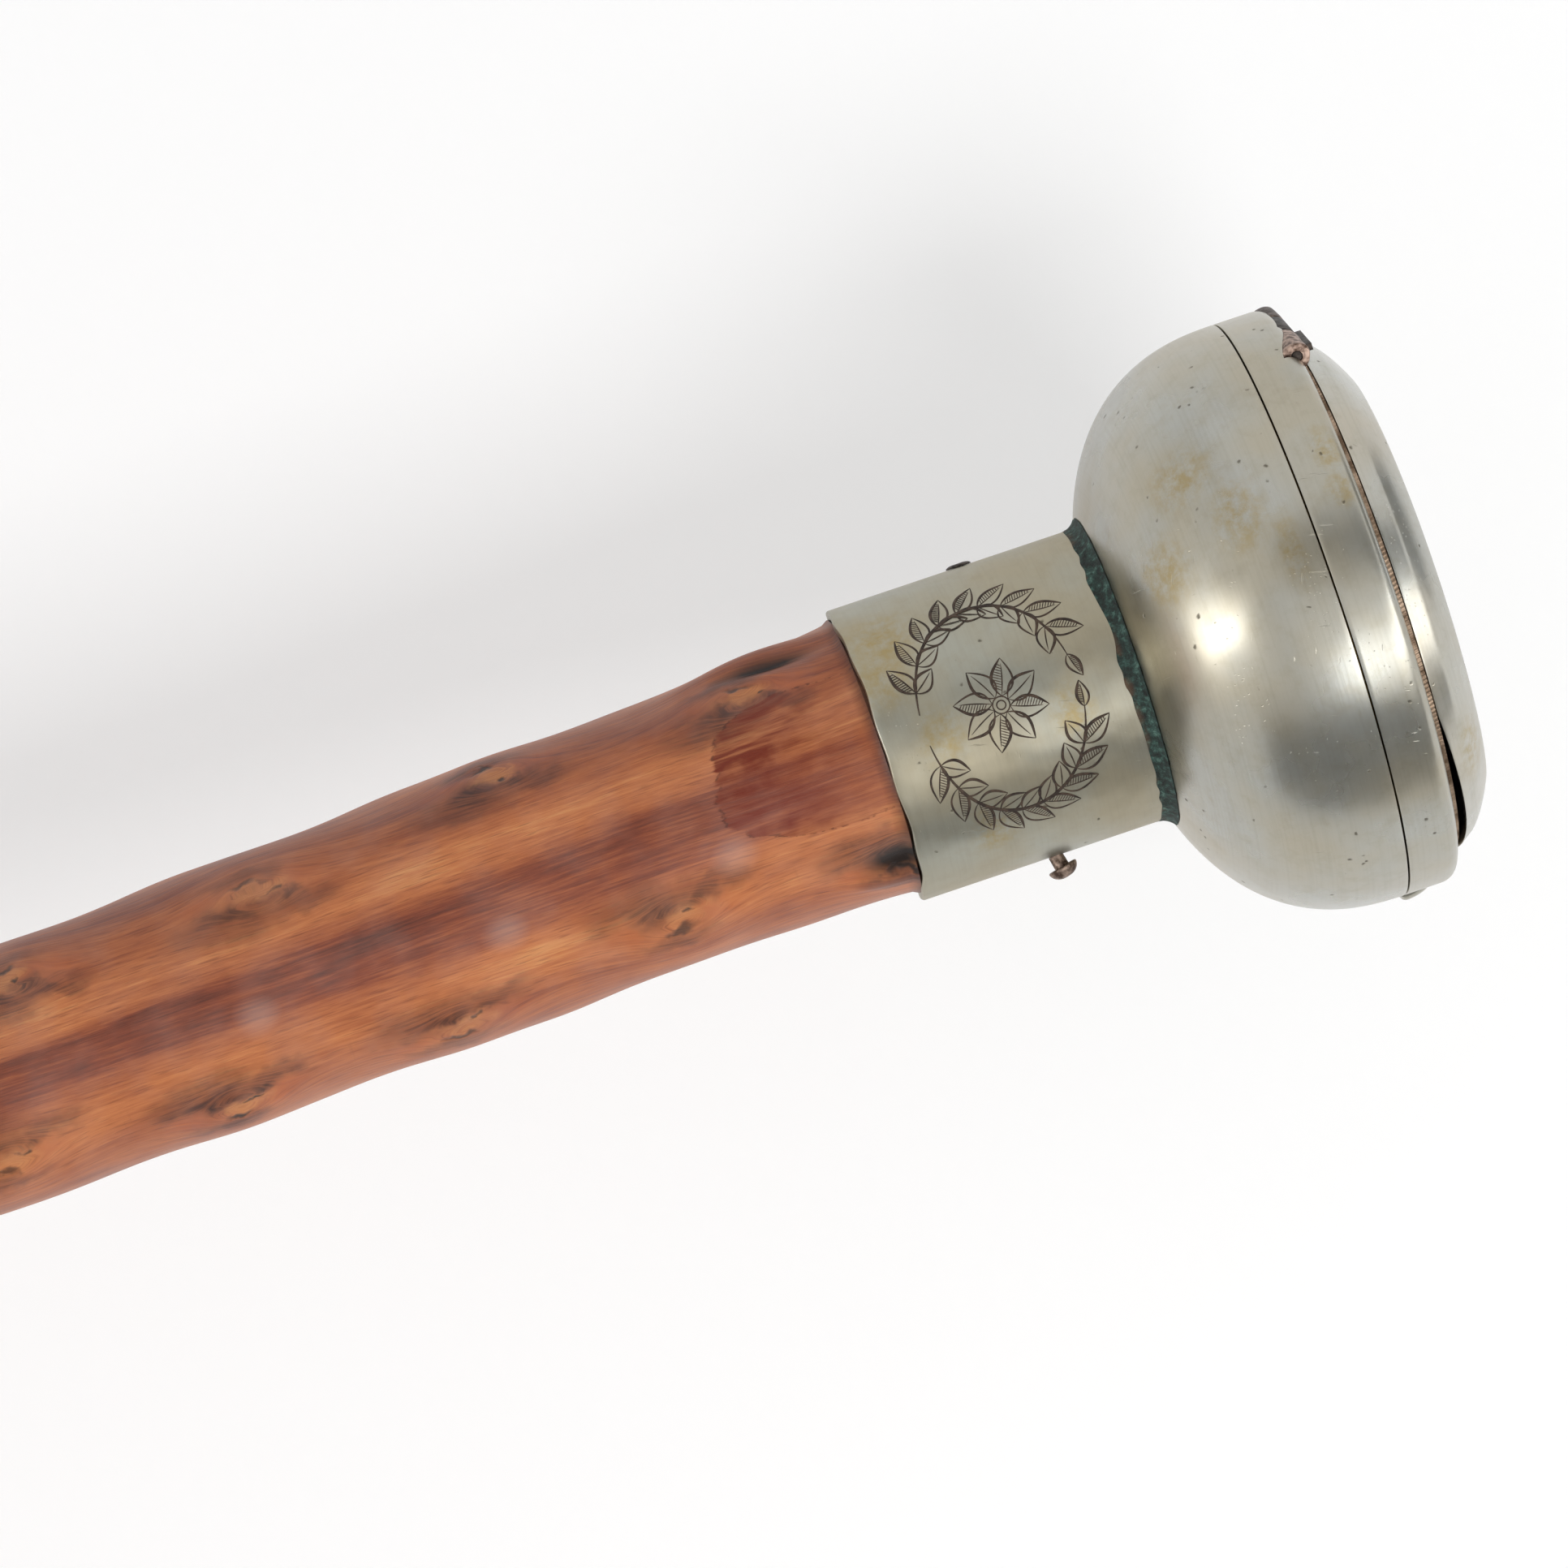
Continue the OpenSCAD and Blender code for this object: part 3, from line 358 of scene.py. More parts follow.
def knotted_wood():
    """Varnished knotted wood, rubbed smooth: fine golden and red-brown grain that parts round the knots,
    a dark smear and small crevices at each knot, satin varnish with a pale bloom and a few painted
    highlights, pooled dark red by the collar, and painted shade in the hollows by the collar and along the
    upper side."""
    made, node, mm = material("knotted_wood_satin_varnish", Coat_Weight=0.24, Coat_Roughness=0.3,
                              Specular_IOR_Level=0.2)
    grain, knot = [node("Attribute", out="Vector", attribute_name=name) for name in ("grain", "knot_at")]
    wood_tone_and_shade, pool, dark = [node("Attribute", out="Fac", attribute_name=name)
                        for name in ("wood_tone_and_shade", "varnish_pool", "painted_shade_hollows")]

    # Figure, fibres and pores of 1.5, 0.24 and 0.13 mm, drawn out along the grain
    drawn = node("VectorMath", {0: grain, 1: (1, 1, 1 / 18)}, operation="MULTIPLY")
    figure, fibre, pore = [
        node("TexNoise", {"Vector": drawn, "Scale": 1 / size, "Detail": detail, "Roughness": rough})
        for size, detail, rough in ((1.5, 3.0, 0.55), (0.24, 3.0, 0.62), (0.13, 1.0, 0.5))]
    blotch = node("TexNoise", {"Vector": mm, "Scale": 1 / 6.0, "Detail": 3.0})
    # The tone holds the wood's colour bands and a painted shade along its upper side
    level = node("Math", {0: wood_tone_and_shade, 1: 0.74}, operation="SUBTRACT")
    for part, weight in ((figure, 0.60), (fibre, 0.55), (blotch, 0.33)):
        level = node("Math", {0: part, 1: weight, 2: level}, operation="MULTIPLY_ADD")
    colour = node("ValToRGB", {"Fac": level}, stops=(
        (0.05, "#47221A"), (0.28, "#7A3C27"), (0.50, "#A05A36"), (0.72, "#B97043"), (0.95, "#CF9059")))
    line = node("MapRange", {"Value": pore, "From Min": 0.58, "From Max": 0.70, "To Max": 0.38})
    layers = [(line, "#5A2E20")]

    # Each knot: a red-brown smear along the grain, an orange flush, a golden boss, a dark core and crevices
    close = node("SeparateXYZ", {0: knot}, "Z")
    ribbed = node("MapRange", {"Value": fibre, "From Min": 0.34, "From Max": 0.60, "To Min": 0.35})
    shift = node("TexNoise", {"Vector": mm, "Scale": 1 / 2.6, "Detail": 3.0}, "Color")
    pushed = node("VectorMath", {0: shift, 1: (5.0, 3.2, 0), 2: knot}, operation="MULTIPLY_ADD")
    at = node("VectorMath", {0: pushed, 1: (2.5, 1.6, 0)}, operation="SUBTRACT")
    for code, strength, soft, worn, flecks in (
            ("#522A1F", 0.92, 0.8, ribbed, [(3.0, 1.6, 8.4, 2.9), (-3.0, 1.6, 5.0, 1.6),
                                            (1.0, -2.4, 5.4, 1.3)]),
            ("#A9532B", 0.45, 0.9, ribbed, [(-3.4, -0.4, 3.8, 1.6), (4.8, -0.9, 2.6, 1.2)]),
            ("#BE7F4C", 0.75, 0.7, ribbed, [(-0.2, -0.3, 2.8, 1.3)]),
            ("#331A14", 0.85, 0.95, ribbed, [(2.2, 1.0, 3.6, 1.2), (-1.9, 0.9, 1.8, 0.7)]),
            ("#251813", 0.95, 0.8, 1.0, [(0.6, -1.3, 1.7, 0.42), (-1.0, 0.2, 0.7, 0.34)])):
        places = [((along, aside, 0), (length, width, FAR)) for along, aside, length, width in flecks]
        mark = node("Math", {0: patches(node, at, places, soft), 1: close}, operation="MULTIPLY")
        share = node("Math", {0: mark, 1: worn}, operation="MULTIPLY")
        share = node("Math", {0: share, 1: strength}, operation="MULTIPLY")
        layers.append((share, code))

    # A pale bloom on the old varnish, thin all over in soft clouds, and painted highlights: a few pale spots
    # along the front ridge where the light glints
    bloom_and_sheen = node("TexNoise", {"Vector": mm, "Scale": 1 / 4.5, "Detail": 3.0})
    bloom_and_sheen = node("MapRange", {"Value": bloom_and_sheen, "From Min": 0.40, "From Max": 0.72,
                              "To Min": 0.01, "To Max": 0.08})
    sheen_spots = [(polar(11.4, FRONT + 21, HEAD - depth_mm), (2.6, 2.6, 3.0)) for depth_mm in (14.2, 33.9, 55.5)]
    sheen_spots = node("Math", {0: patches(node, mm, sheen_spots, 0.95), 1: 0.20}, operation="MULTIPLY")
    bloom_and_sheen = node("Math", {0: bloom_and_sheen, 1: sheen_spots}, operation="MAXIMUM")

    # The varnish pool: a ragged edge with a broken dark line, and drips along the grain inside
    run = node("VectorMath", {0: grain, 1: (1, 1, 1 / 9)}, operation="MULTIPLY")
    drips = node("TexNoise", {"Vector": run, "Scale": 1 / 0.8, "Detail": 3.0, "Roughness": 0.6})
    ragged = node("Math", {0: drips, 1: 0.9, 2: pool}, operation="MULTIPLY_ADD")
    wet = node("MapRange", {"Value": ragged, "From Min": 0.86, "From Max": 1.06},
               interpolation_type="SMOOTHSTEP")
    thick = node("MapRange", {"Value": drips, "From Min": 0.36, "From Max": 0.60,
                              "To Min": 0.32, "To Max": 0.98})
    depth = node("SeparateXYZ", {0: grain}, "Z")
    thinned = node("MapRange", {"Value": depth, "From Min": 1.0, "From Max": 9.0, "To Min": 0.30})
    spread = node("TexNoise", {"Vector": mm, "Scale": 1 / 3.5, "Detail": 3.0})
    spread = node("MapRange", {"Value": spread, "From Min": 0.36, "From Max": 0.56, "To Min": 0.45})
    soaked = wet
    for part in (thick, thinned, spread):
        soaked = node("Math", {0: soaked, 1: part}, operation="MULTIPLY")
    dry = node("Math", {0: 1.0, 1: wet}, operation="SUBTRACT")
    rim = node("Math", {0: wet, 1: dry}, operation="MULTIPLY")
    crack = node("TexNoise", {"Vector": mm, "Scale": 1 / 0.6, "Detail": 2.0})
    crack = node("MapRange", {"Value": crack, "From Min": 0.46, "From Max": 0.58, "To Max": 2.4})
    crust = node("Math", {0: rim, 1: crack}, operation="MULTIPLY")
    # The last layer, dark, is painted shade in the hole, the slit and the line under the collar's edge
    layers += [(bloom_and_sheen, "#C9B7AF"), (soaked, "#6A2410"), (crust, "#3A1A12"), (dark, "#1D120D")]
    for share, code in layers:
        colour = node("Mix", {"Factor": share, "A": colour, "B": linear(code)}, **OF_COLOURS)

    satin = node("MapRange", {"Value": fibre, "From Min": 0.3, "From Max": 0.7,
                              "To Min": 0.44, "To Max": 0.58})
    satin = node("Math", {0: wet, 1: -0.14, 2: satin}, operation="MULTIPLY_ADD")
    height = 0.0
    for part, weight in ((fibre, 0.6), (mark, -1.6)):
        height = node("Math", {0: part, 1: weight, 2: height}, operation="MULTIPLY_ADD")
    bump = node("Bump", {"Height": height, "Distance": 0.08 * MM})
    return finished(made, Base_Color=colour, Roughness=satin, Normal=bump)


def verdigris():
    """Corroded solder: a crumbly dark green crust with teal flecks, rusty where it thins on the collar."""
    made, node, mm = material("verdigris_crust", Roughness=0.8)
    crumb = node("TexNoise", {"Vector": mm, "Scale": 1 / 0.7, "Detail": 4.0, "Roughness": 0.7})
    colour = node("ValToRGB", {"Fac": crumb}, stops=(
        (0.36, "#141A17"), (0.48, "#1F302A"), (0.57, "#304A43"), (0.68, "#557468")))
    z = node("SeparateXYZ", {0: mm}, "Z")
    low = node("MapRange", {"Value": z, "From Min": HEAD + 21.4, "From Max": HEAD + 20.3})
    rust = node("TexNoise", {"Vector": mm, "Scale": 1 / 1.6, "Detail": 2.0})
    rust = node("MapRange", {"Value": rust, "From Min": 0.48, "From Max": 0.62, "To Max": 0.85})
    rust = node("Math", {0: rust, 1: low}, operation="MULTIPLY")
    colour = node("Mix", {"Factor": rust, "A": colour, "B": linear("#6B4A33")}, **OF_COLOURS)
    bump = node("Bump", {"Height": crumb, "Distance": 0.25 * MM})
    return finished(made, Base_Color=colour, Normal=bump)


def worked_metal(name, light, dark, rough, patch_mm, metallic=1.0, spread=0.5, shade_spots=()):
    """A plain worked metal with a little tarnish in patches, fine tool marks, and painted shade where named.
    """
    made, node, mm = material(name, Metallic=metallic)
    tarnish = node("TexNoise", {"Vector": mm, "Scale": 1 / patch_mm, "Detail": 4.0, "Roughness": 0.6})
    colour = node("ValToRGB", {"Fac": tarnish},
                  stops=((0.5 - 0.2 * spread, dark), (0.5 + 0.2 * spread, light)))
    # Painted shade in the patches named
    painted_shade_share = node("Math", {0: patches(node, mm, shade_spots, 0.6), 1: 0.85}, operation="MULTIPLY")
    colour = node("Mix", {"Factor": painted_shade_share, "A": colour, "B": linear("#2E2520")}, **OF_COLOURS)
    satin = node("MapRange", {"Value": tarnish, "From Min": 0.3, "From Max": 0.7,
                              "To Min": rough + 0.08, "To Max": rough - 0.04})
    marks = node("TexNoise", {"Vector": mm, "Scale": 6 / patch_mm})
    bump = node("Bump", {"Height": marks, "Distance": 0.012 * MM})
    return finished(made, Base_Color=colour, Roughness=satin, Normal=bump)


def dial_enamel():
    """White fired enamel: glossy, faintly warm, with a very soft waviness."""
    made, node, mm = material("dial_enamel", Roughness=0.16, IOR=1.5, Coat_Weight=0.3, Coat_Roughness=0.06)
    cloud = node("TexNoise", {"Vector": mm, "Scale": 1 / 7.0})
    colour = node("ValToRGB", {"Fac": cloud}, stops=((0.35, "#E7E2D3"), (0.65, "#EFEBDF")))
    wave = node("TexNoise", {"Vector": mm, "Scale": 1 / 4.0})
    bump = node("Bump", {"Height": wave, "Distance": 0.02 * MM})
    return finished(made, Base_Color=colour, Normal=bump)


def watch_glass():
    """Clear domed glass: colourless, with sharp reflections."""
    made, node, mm = material("watch_glass", Roughness=0.02, IOR=1.5, Transmission_Weight=1.0)
    cloud = node("TexNoise", {"Vector": mm, "Scale": 1 / 12.0})
    colour = node("ValToRGB", {"Fac": cloud}, stops=((0.3, "#F4F7F6"), (0.7, "#FBFCFC")))
    return finished(made, Base_Color=colour)


WOOD = knotted_wood()
BOWL_METAL = nickel_silver(
    "nickel_silver_bowl",
    stains=[(-118, 36, 24.8, 5, 1.6), (-142, 29.7, 22.9, 4, 5), (-125, 26, 20, 4.5, 4.5),
            (-128, 33, 24, 5, 3.5), (40, 30, 23, 6, 5), (120, 27, 21, 5, 4)],
    pits=[(-120, 31.2, 23.5, 1.6, 1.6), (-145, 37, 25, 1.8, 1.2), (-160, 33, 24, 1.8, 1.8),
          (-48, 34, 24.3, 2.2, 2.6), (-105, 35.5, 24.7, 1.2, 1.2), (70, 33, 24, 2.5, 2)])
BAND_METAL = nickel_silver(
    "nickel_silver_band",
    stains=[(-135, 41.5, 24.9, 3.4, 1.8), (-126, 41.5, 24.9, 2.4, 2), (60, 41, 24.9, 4, 2)],
    pits=[(-134, 41, 25, 1, 0.8), (-50, 40.5, 25, 1.6, 1)],
    # Painted shade on the thumb lip and just under it
    shade_spots=[(on_face(0, 38.9, 25.9), (0.9, 4.5, 2.0))])
# The lid's copy of the metal is painted lighter than the bowl's and the band's, standing in for the brighter
# light on the lid
LID_METAL = nickel_silver("nickel_silver_lid", warm="#BAB4A6", cool="#B8B8B1",
                          stains=[(-60, 46, 21, 5, 2), (150, 47.6, 9, 6, 2)])
COLLAR_METAL = nickel_silver(
    "nickel_silver_collar", warm="#A8A08B", cool="#A5A498", gloss=(0.38, 0.50), wave_mm=3.6, wave_high=6.0,
    pitting=0.5,
    stains=[(-150, 3, 12.6, 5, 4.5), (-133, 2, 12.6, 4, 3.5), (-104, 5, 12.6, 4, 3), (-98, 16, 12.6, 4, 3),
            (-62, 7, 12.6, 4, 3), (30, 8, 12.6, 6, 5), (110, 15, 12.6, 6, 4)])
CRUST = verdigris()
ENAMEL = dial_enamel()
GLASS = watch_glass()
# Turned brass gone brown: a dull pinkish metal, darker in patches
MILLED = worked_metal("milled_brass_tarnished", "#B39C86", "#74604E", 0.45, patch_mm=2.0)
# Rubbed copper: grey-pink with brown tarnish
COPPER = worked_metal("copper_tarnished", "#A08C7E", "#54443B", 0.48, patch_mm=0.7)
# The same copper with painted shade round the far knuckle
HINGE_COPPER = worked_metal("hinge_copper_shaded", "#AD9688", "#5A473D", 0.45, patch_mm=0.6,
                            shade_spots=[((HINGE_X, KNUCKLE_MID, HEAD + HINGE_UP), (3.0, 4.5, 3.0))])
# Forged iron: nearly black, only half as bright as clean metal
IRON = worked_metal("iron_dark_worn", "#4A423C", "#241E1B", 0.5, patch_mm=0.8, metallic=0.7)
# Satin brass: warm yellow, evenly dull
BRASS = worked_metal("brass_satin", "#C9A45C", "#AD8743", 0.3, patch_mm=3.0, spread=0.8)
# Polished steel: cool grey with clear reflections
STEEL = worked_metal("steel_polished", "#A9ACB0", "#8B8E92", 0.2, patch_mm=2.0)
# Heat-blued steel: deep blue, bright where it turns to the light
BLUED = worked_metal("steel_blued", "#26336B", "#161E46", 0.22, patch_mm=3.0)
# Graver cuts filled with old polish: thin brown lines
GRAVED = worked_metal("graver_cut_dark", "#4A3A2E", "#2C211A", 0.6, patch_mm=0.6, metallic=0.3)
# Fired black paint on the dial: a soft black
INK = worked_metal("dial_black", "#1B1A1A", "#0E0D0D", 0.4, patch_mm=0.6, metallic=0.0)


# The wooden shaft

FERRULE_R = 9.5
PLUG_R, PLUG_TOP = 8.66, 6.0  # the iron plug, and the wooden spigot above it


def knots():
    """Every knot as depth below the collar, angle, row and strength of mark, in rows a quarter turn apart."""
    for row in range(4):
        first, pitch = ((9.2, 21.6), (0.1, 19.6))[row % 2]
        for k in range(int((RUN - first) / pitch) + 1):
            yield (first + k * pitch, -151 + 90 * row - 10 * math.sin(math.radians(110 * k)), row,
                   0.87 + 0.13 * math.sin(math.radians(130 * k + 70 * row)))


def wooden_shaft():
    """The shaft on its two spigots, tapered, bowed and swollen at its knots, with what its colours follow."""
    top, tip = 11.61, 8.91  # radii of the bare wood
    peg_top, peg_tip, peg_foot, peg_end = 11.41, PLUG_R, PLUG_TOP, HEAD + 21.9
    face_high, fine_run = 1.3, 105  # height of a face, and the length by the collar that has finer ones
    heights = [TIP + i * face_high for i in range(int((HEAD - fine_run - TIP) / face_high))]
    heights += list(np.linspace(heights[-1] + face_high, HEAD, 200))
    line = [(0, peg_foot), (peg_tip, peg_foot), (peg_tip, TIP)] + [(tip, z) for z in heights]
    line += [(peg_top, HEAD), (peg_top, peg_end), (0, peg_end)]
    mesh = as_mesh("knotted_shaft", turned(line, 128, closed=False))

    place = np.zeros(len(mesh.vertices) * 3)
    mesh.vertices.foreach_get("co", place)
    place = place.reshape(-1, 3)
    depth = HEAD - place[:, 2]
    angle = np.degrees(np.arctan2(place[:, 1], place[:, 0]))
    turned_to = np.hypot(place[:, 0], place[:, 1])
    # The bare wood was turned at a radius between those of the two pegs
    bare = (turned_to > 8.8) & (depth >= -1e-6) & (depth <= RUN + 1e-6)
    bare &= ~((depth < 1e-6) & (turned_to > 11.3))
    share = np.clip(depth / RUN, 0, 1)
    radius = top - (top - tip) * share ** 0.3
    arc_mm = radius * math.pi / 180  # millimetres of arc for one degree
    swell = np.zeros(len(place))
    parted = np.zeros(len(place))
    nearest = np.full(len(place), 1e9)
    knot_at = np.zeros((len(place), 3))

    def degrees_from(a):
        return (angle - a + 180) % 360 - 180

    for d, a, row, marked in knots():
        along = depth - d
        close = np.abs(along) < 24
        aside = degrees_from(a)
        side = aside * arc_mm
        swell += np.where(close, 1.0 * bell(along / 6) * bell(aside / 40), 0)
        swell -= np.where(close, 0.22 * bell((along + 0.3) / 1.5) * bell((side - 0.2) / 0.8), 0)
        swell -= np.where(close, 0.18 * bell((along - 0.9) / 1.6) * bell((side + 1.5) / 0.5), 0)
        reach = (along / 2.0) ** 2 + side ** 2
        parted -= np.where(close, side * 3.2 / (reach + 0.5) * bell(side / 9) * bell(along / 13), 0)
        far = np.hypot(along / 2.0, side)
        nearer = far < nearest
        nearest = np.where(nearer, far, nearest)
        flip = -1.0 if row % 2 else 1.0
        knot_at[nearer] = np.stack([along, side * flip, marked * fade((far - 4.3) * 4)], 1)[nearer]

    # Small local forms that the photograph shows by the collar: a hole, and a slit in a raised fold
    def near(d, a, long_mm, wide_mm):
        return bell((depth - d) / long_mm) * bell(degrees_from(a) * arc_mm / wide_mm)

    hole = near(1.2, FRONT + 46, 3.0, 1.6)
    slit = near(6.6, FRONT - 62, 3.8, 0.9)
    swell += 0.6 * near(6.6, FRONT - 73, 6.0, 1.6) - 0.9 * hole - 0.7 * slit
    swell += 0.25 * near(2.5, FRONT + 40, 5.0, 3.0) + 0.35 * near(3.0, FRONT + 57, 2.6, 0.8)

    radius = np.where(bare, radius + swell, turned_to)
    bow = np.where((depth > 0) & (depth < RUN), 8.0 * np.sin(np.pi * share), 0)
    lean = math.radians(PINS)
    turn = np.radians(angle)
    moved = np.stack([radius * np.cos(turn) + bow * math.cos(lean),
                      radius * np.sin(turn) + bow * math.sin(lean), place[:, 2]], 1)
    mesh.vertices.foreach_set("co", (moved * MM).ravel())
    mesh.update()

    grain_turn = turn + parted / np.maximum(radius, 5) + np.radians(depth * 0.12)
    grain = np.stack([11 * np.cos(grain_turn), 11 * np.sin(grain_turn), depth], 1)
    # One dark red-brown streak runs along the front between golden bands, with fainter ones round the back
    streak = degrees_from(FRONT + 1 + 5 * np.sin(depth / 90))
    red = fade(-(streak + 14) / 1.6) * fade((streak - 13) / 3.5) * (1 - 0.65 * fade((depth - 10) / 2.5))
    wood_tone_and_shade = 0.56 - 0.32 * red + 0.15 * bell((streak + 25) / 12) + 0.15 * bell((streak - 30) / 12)
    # Painted shade: the wood is darkened along its upper side, where the light leaves it in shade
    wood_tone_and_shade -= 0.12 * bell((streak + 72) / 24)
    wood_tone_and_shade += 0.06 * np.sin(np.radians(3 * angle + depth * 0.9)) * (1 - bell(streak / 60))
    aside = degrees_from(FRONT - 9)
    pool_edge = 14.0 - 5.0 * (aside / 30) ** 4 + 0.5 * np.sin(np.radians(aside * 9))
    pool = fade((np.abs(aside) - 31 - depth * 0.12) / 2.2) * fade((depth - pool_edge) * 1.6)
    under = fade((depth - 0.55) * 8)  # the shade under the collar's edge
    # Painted shade: the wood is darkened in the hole, in the slit and in a thin line under the collar's edge
    shade = np.clip(1.5 * np.maximum(np.maximum(hole, slit), 0.5 * under) - 0.15, 0, 1)
    for name, kind, values in (("grain", "FLOAT_VECTOR", grain), ("knot_at", "FLOAT_VECTOR", knot_at),
                               ("wood_tone_and_shade", "FLOAT", wood_tone_and_shade), ("varnish_pool", "FLOAT", pool),
                               ("painted_shade_hollows", "FLOAT", shade)):
        attribute = mesh.attributes.new(name, kind, "POINT")
        attribute.data.foreach_set("vector" if kind == "FLOAT_VECTOR" else "value",
                                   np.ascontiguousarray(values, np.float32).ravel())
    keep_mesh("knotted_shaft", mesh, WOOD, "stick", ["shaft"], smooth=60)


wooden_shaft()

# The tip

foot, bore = (FERRULE_R, 1.0), 8.7
ferrule = turned([foot] + spaced(foot, (FERRULE_R, TIP), 12) + [(bore, TIP), (bore, foot[1])], 128)
soften(ferrule, 0.22, 3)
dent(ferrule, polar(FERRULE_R, -70, 6), 2.2, 0.12)
dent(ferrule, polar(FERRULE_R, 150, 9), 1.8, 0.10)
keep("brass_tip_ferrule", ferrule, BRASS, "stick", ["tip_ferrule"])

plug = turned([(0, 0), (7.6, 0.0), (8.4, 0.35), (PLUG_R, 1.2), (PLUG_R, PLUG_TOP), (0, PLUG_TOP)], 96,
              closed=False)
soften(plug, 0.15, 2)
keep("iron_tip_plug", plug, IRON, "stick", ["tip_plug"])

# The collar, its pins, the engraving and the corroded solder ring

foot, bore = (COLLAR_R, 0.0), 11.45
face = [foot] + spaced(foot, (COLLAR_R, COLLAR_TOP), 36)
collar = turned(lifted(face + [(bore, COLLAR_TOP), (bore, 0.0)]), 256)
soften(collar, 0.18, 3)
for v in collar.verts:
    low = math.exp(-((v.co.z - HEAD) / 1.4) ** 2)
    a = math.atan2(v.co.y, v.co.x)
    v.co.z += low * (0.10 * math.sin(5 * a + 1.0) + 0.07 * math.sin(13 * a) + 0.12)
for angle, height, reach, depth in ((-118, 3.0, 2.4, 0.10), (-72, 18.5, 2.6, 0.10), (-95, 17, 2.0, 0.06),
                                    (20, 9, 3, 0.1), (95, 14, 2.6, 0.1), (-150, 9, 2.2, 0.06)):
    dent(collar, on_face(angle, height, COLLAR_R), reach, depth)
keep("collar_tube", collar, COLLAR_METAL, "stick", ["collar"])


def round_head(foot, out, radius, height, dish):
    """A domed head standing on a place, along a direction."""
    bm = bmesh.new()
    bmesh.ops.create_uvsphere(bm, u_segments=40, v_segments=24, radius=radius)
    bmesh.ops.bisect_plane(bm, geom=bm.verts[:] + bm.edges[:] + bm.faces[:], plane_co=(0, 0, 0),
                           plane_no=(0, 0, 1), dist=1e-4, clear_inner=True)
    bmesh.ops.holes_fill(bm, edges=[e for e in bm.edges if e.is_boundary])
    bmesh.ops.scale(bm, vec=(1, 1, height / radius), verts=bm.verts)
    for v in bm.verts:
        v.co.x += 0.05 * radius * math.sin(3 * v.co.y / radius)
        v.co.z -= dish * math.exp(-(v.co.xy.length / radius * 2) ** 2)
    soften(bm, radius * 0.12, 2)
    turn = out.to_track_quat("Z", "Y").to_matrix().to_4x4()
    bmesh.ops.transform(bm, matrix=Matrix.Translation(foot) @ turn, verts=bm.verts)
    return bm


PIN_HEIGHT, PIN_R = 11.766, 0.6
PIN_REACH = 8  # how deep each pin goes into the wood
pin_way = polar(1, PINS, 0)
pin_lean = (pin_way + Vector((0, 0, 0.22))).normalized()
pin_foot = on_face(PINS, PIN_HEIGHT, COLLAR_R)
stem = rod(PIN_R, pin_foot - pin_way * PIN_REACH, pin_foot, 32)
neck = rod(0.62, pin_foot - pin_lean * 0.1, pin_foot + pin_lean * 1.2, 32, 1.05)
head = round_head(pin_foot + pin_lean * 1.02, pin_lean, 1.3, 1.05, 0.08)
keep("collar_pin_bent", joined(stem, neck, head), COPPER, "stick", ["collar_pin"])

rivet_way = polar(1, PINS + 180, 0)
rivet_foot = on_face(PINS + 180, PIN_HEIGHT, COLLAR_R)
rivet = joined(rod(PIN_R, rivet_foot - rivet_way * PIN_REACH, rivet_foot, 32),
               round_head(rivet_foot + rivet_way * 0.02, rivet_way, 1.1, 0.36, 0.1))
keep("collar_rivet_worn", rivet, IRON, "stick", ["collar_rivet"])

low, high, wide = (12.66, 20.8), (12.66, 22.16), (13.4, 22.16)
crust = turned(lifted([low] + bend(low, (12.7, 21.7), wide, 14) + [high]), 384)
for v in crust.verts:
    a, z = math.atan2(v.co.y, v.co.x), v.co.z - HEAD
    lump = 0.5 + 0.5 * math.sin(23 * a + 3 * math.sin(7 * a) + 2.0 * z) * math.sin(11 * a + 1.7 * z + 2)
    if math.hypot(v.co.x, v.co.y) > 12.7:
        v.co += polar(1, math.degrees(a), 0) * (0.12 * lump - 0.04)
    if z < 21.2:
        v.co.z += 0.16 * math.sin(5 * a + 2 * math.sin(3 * a)) + 0.07 * math.sin(19 * a + 3 * math.sin(7 * a))
keep("verdigris_ring", crust, CRUST, "stick", ["solder_fillet"], smooth=80)

WREATH_MID = 10.4  # height of the rosette's middle on the collar


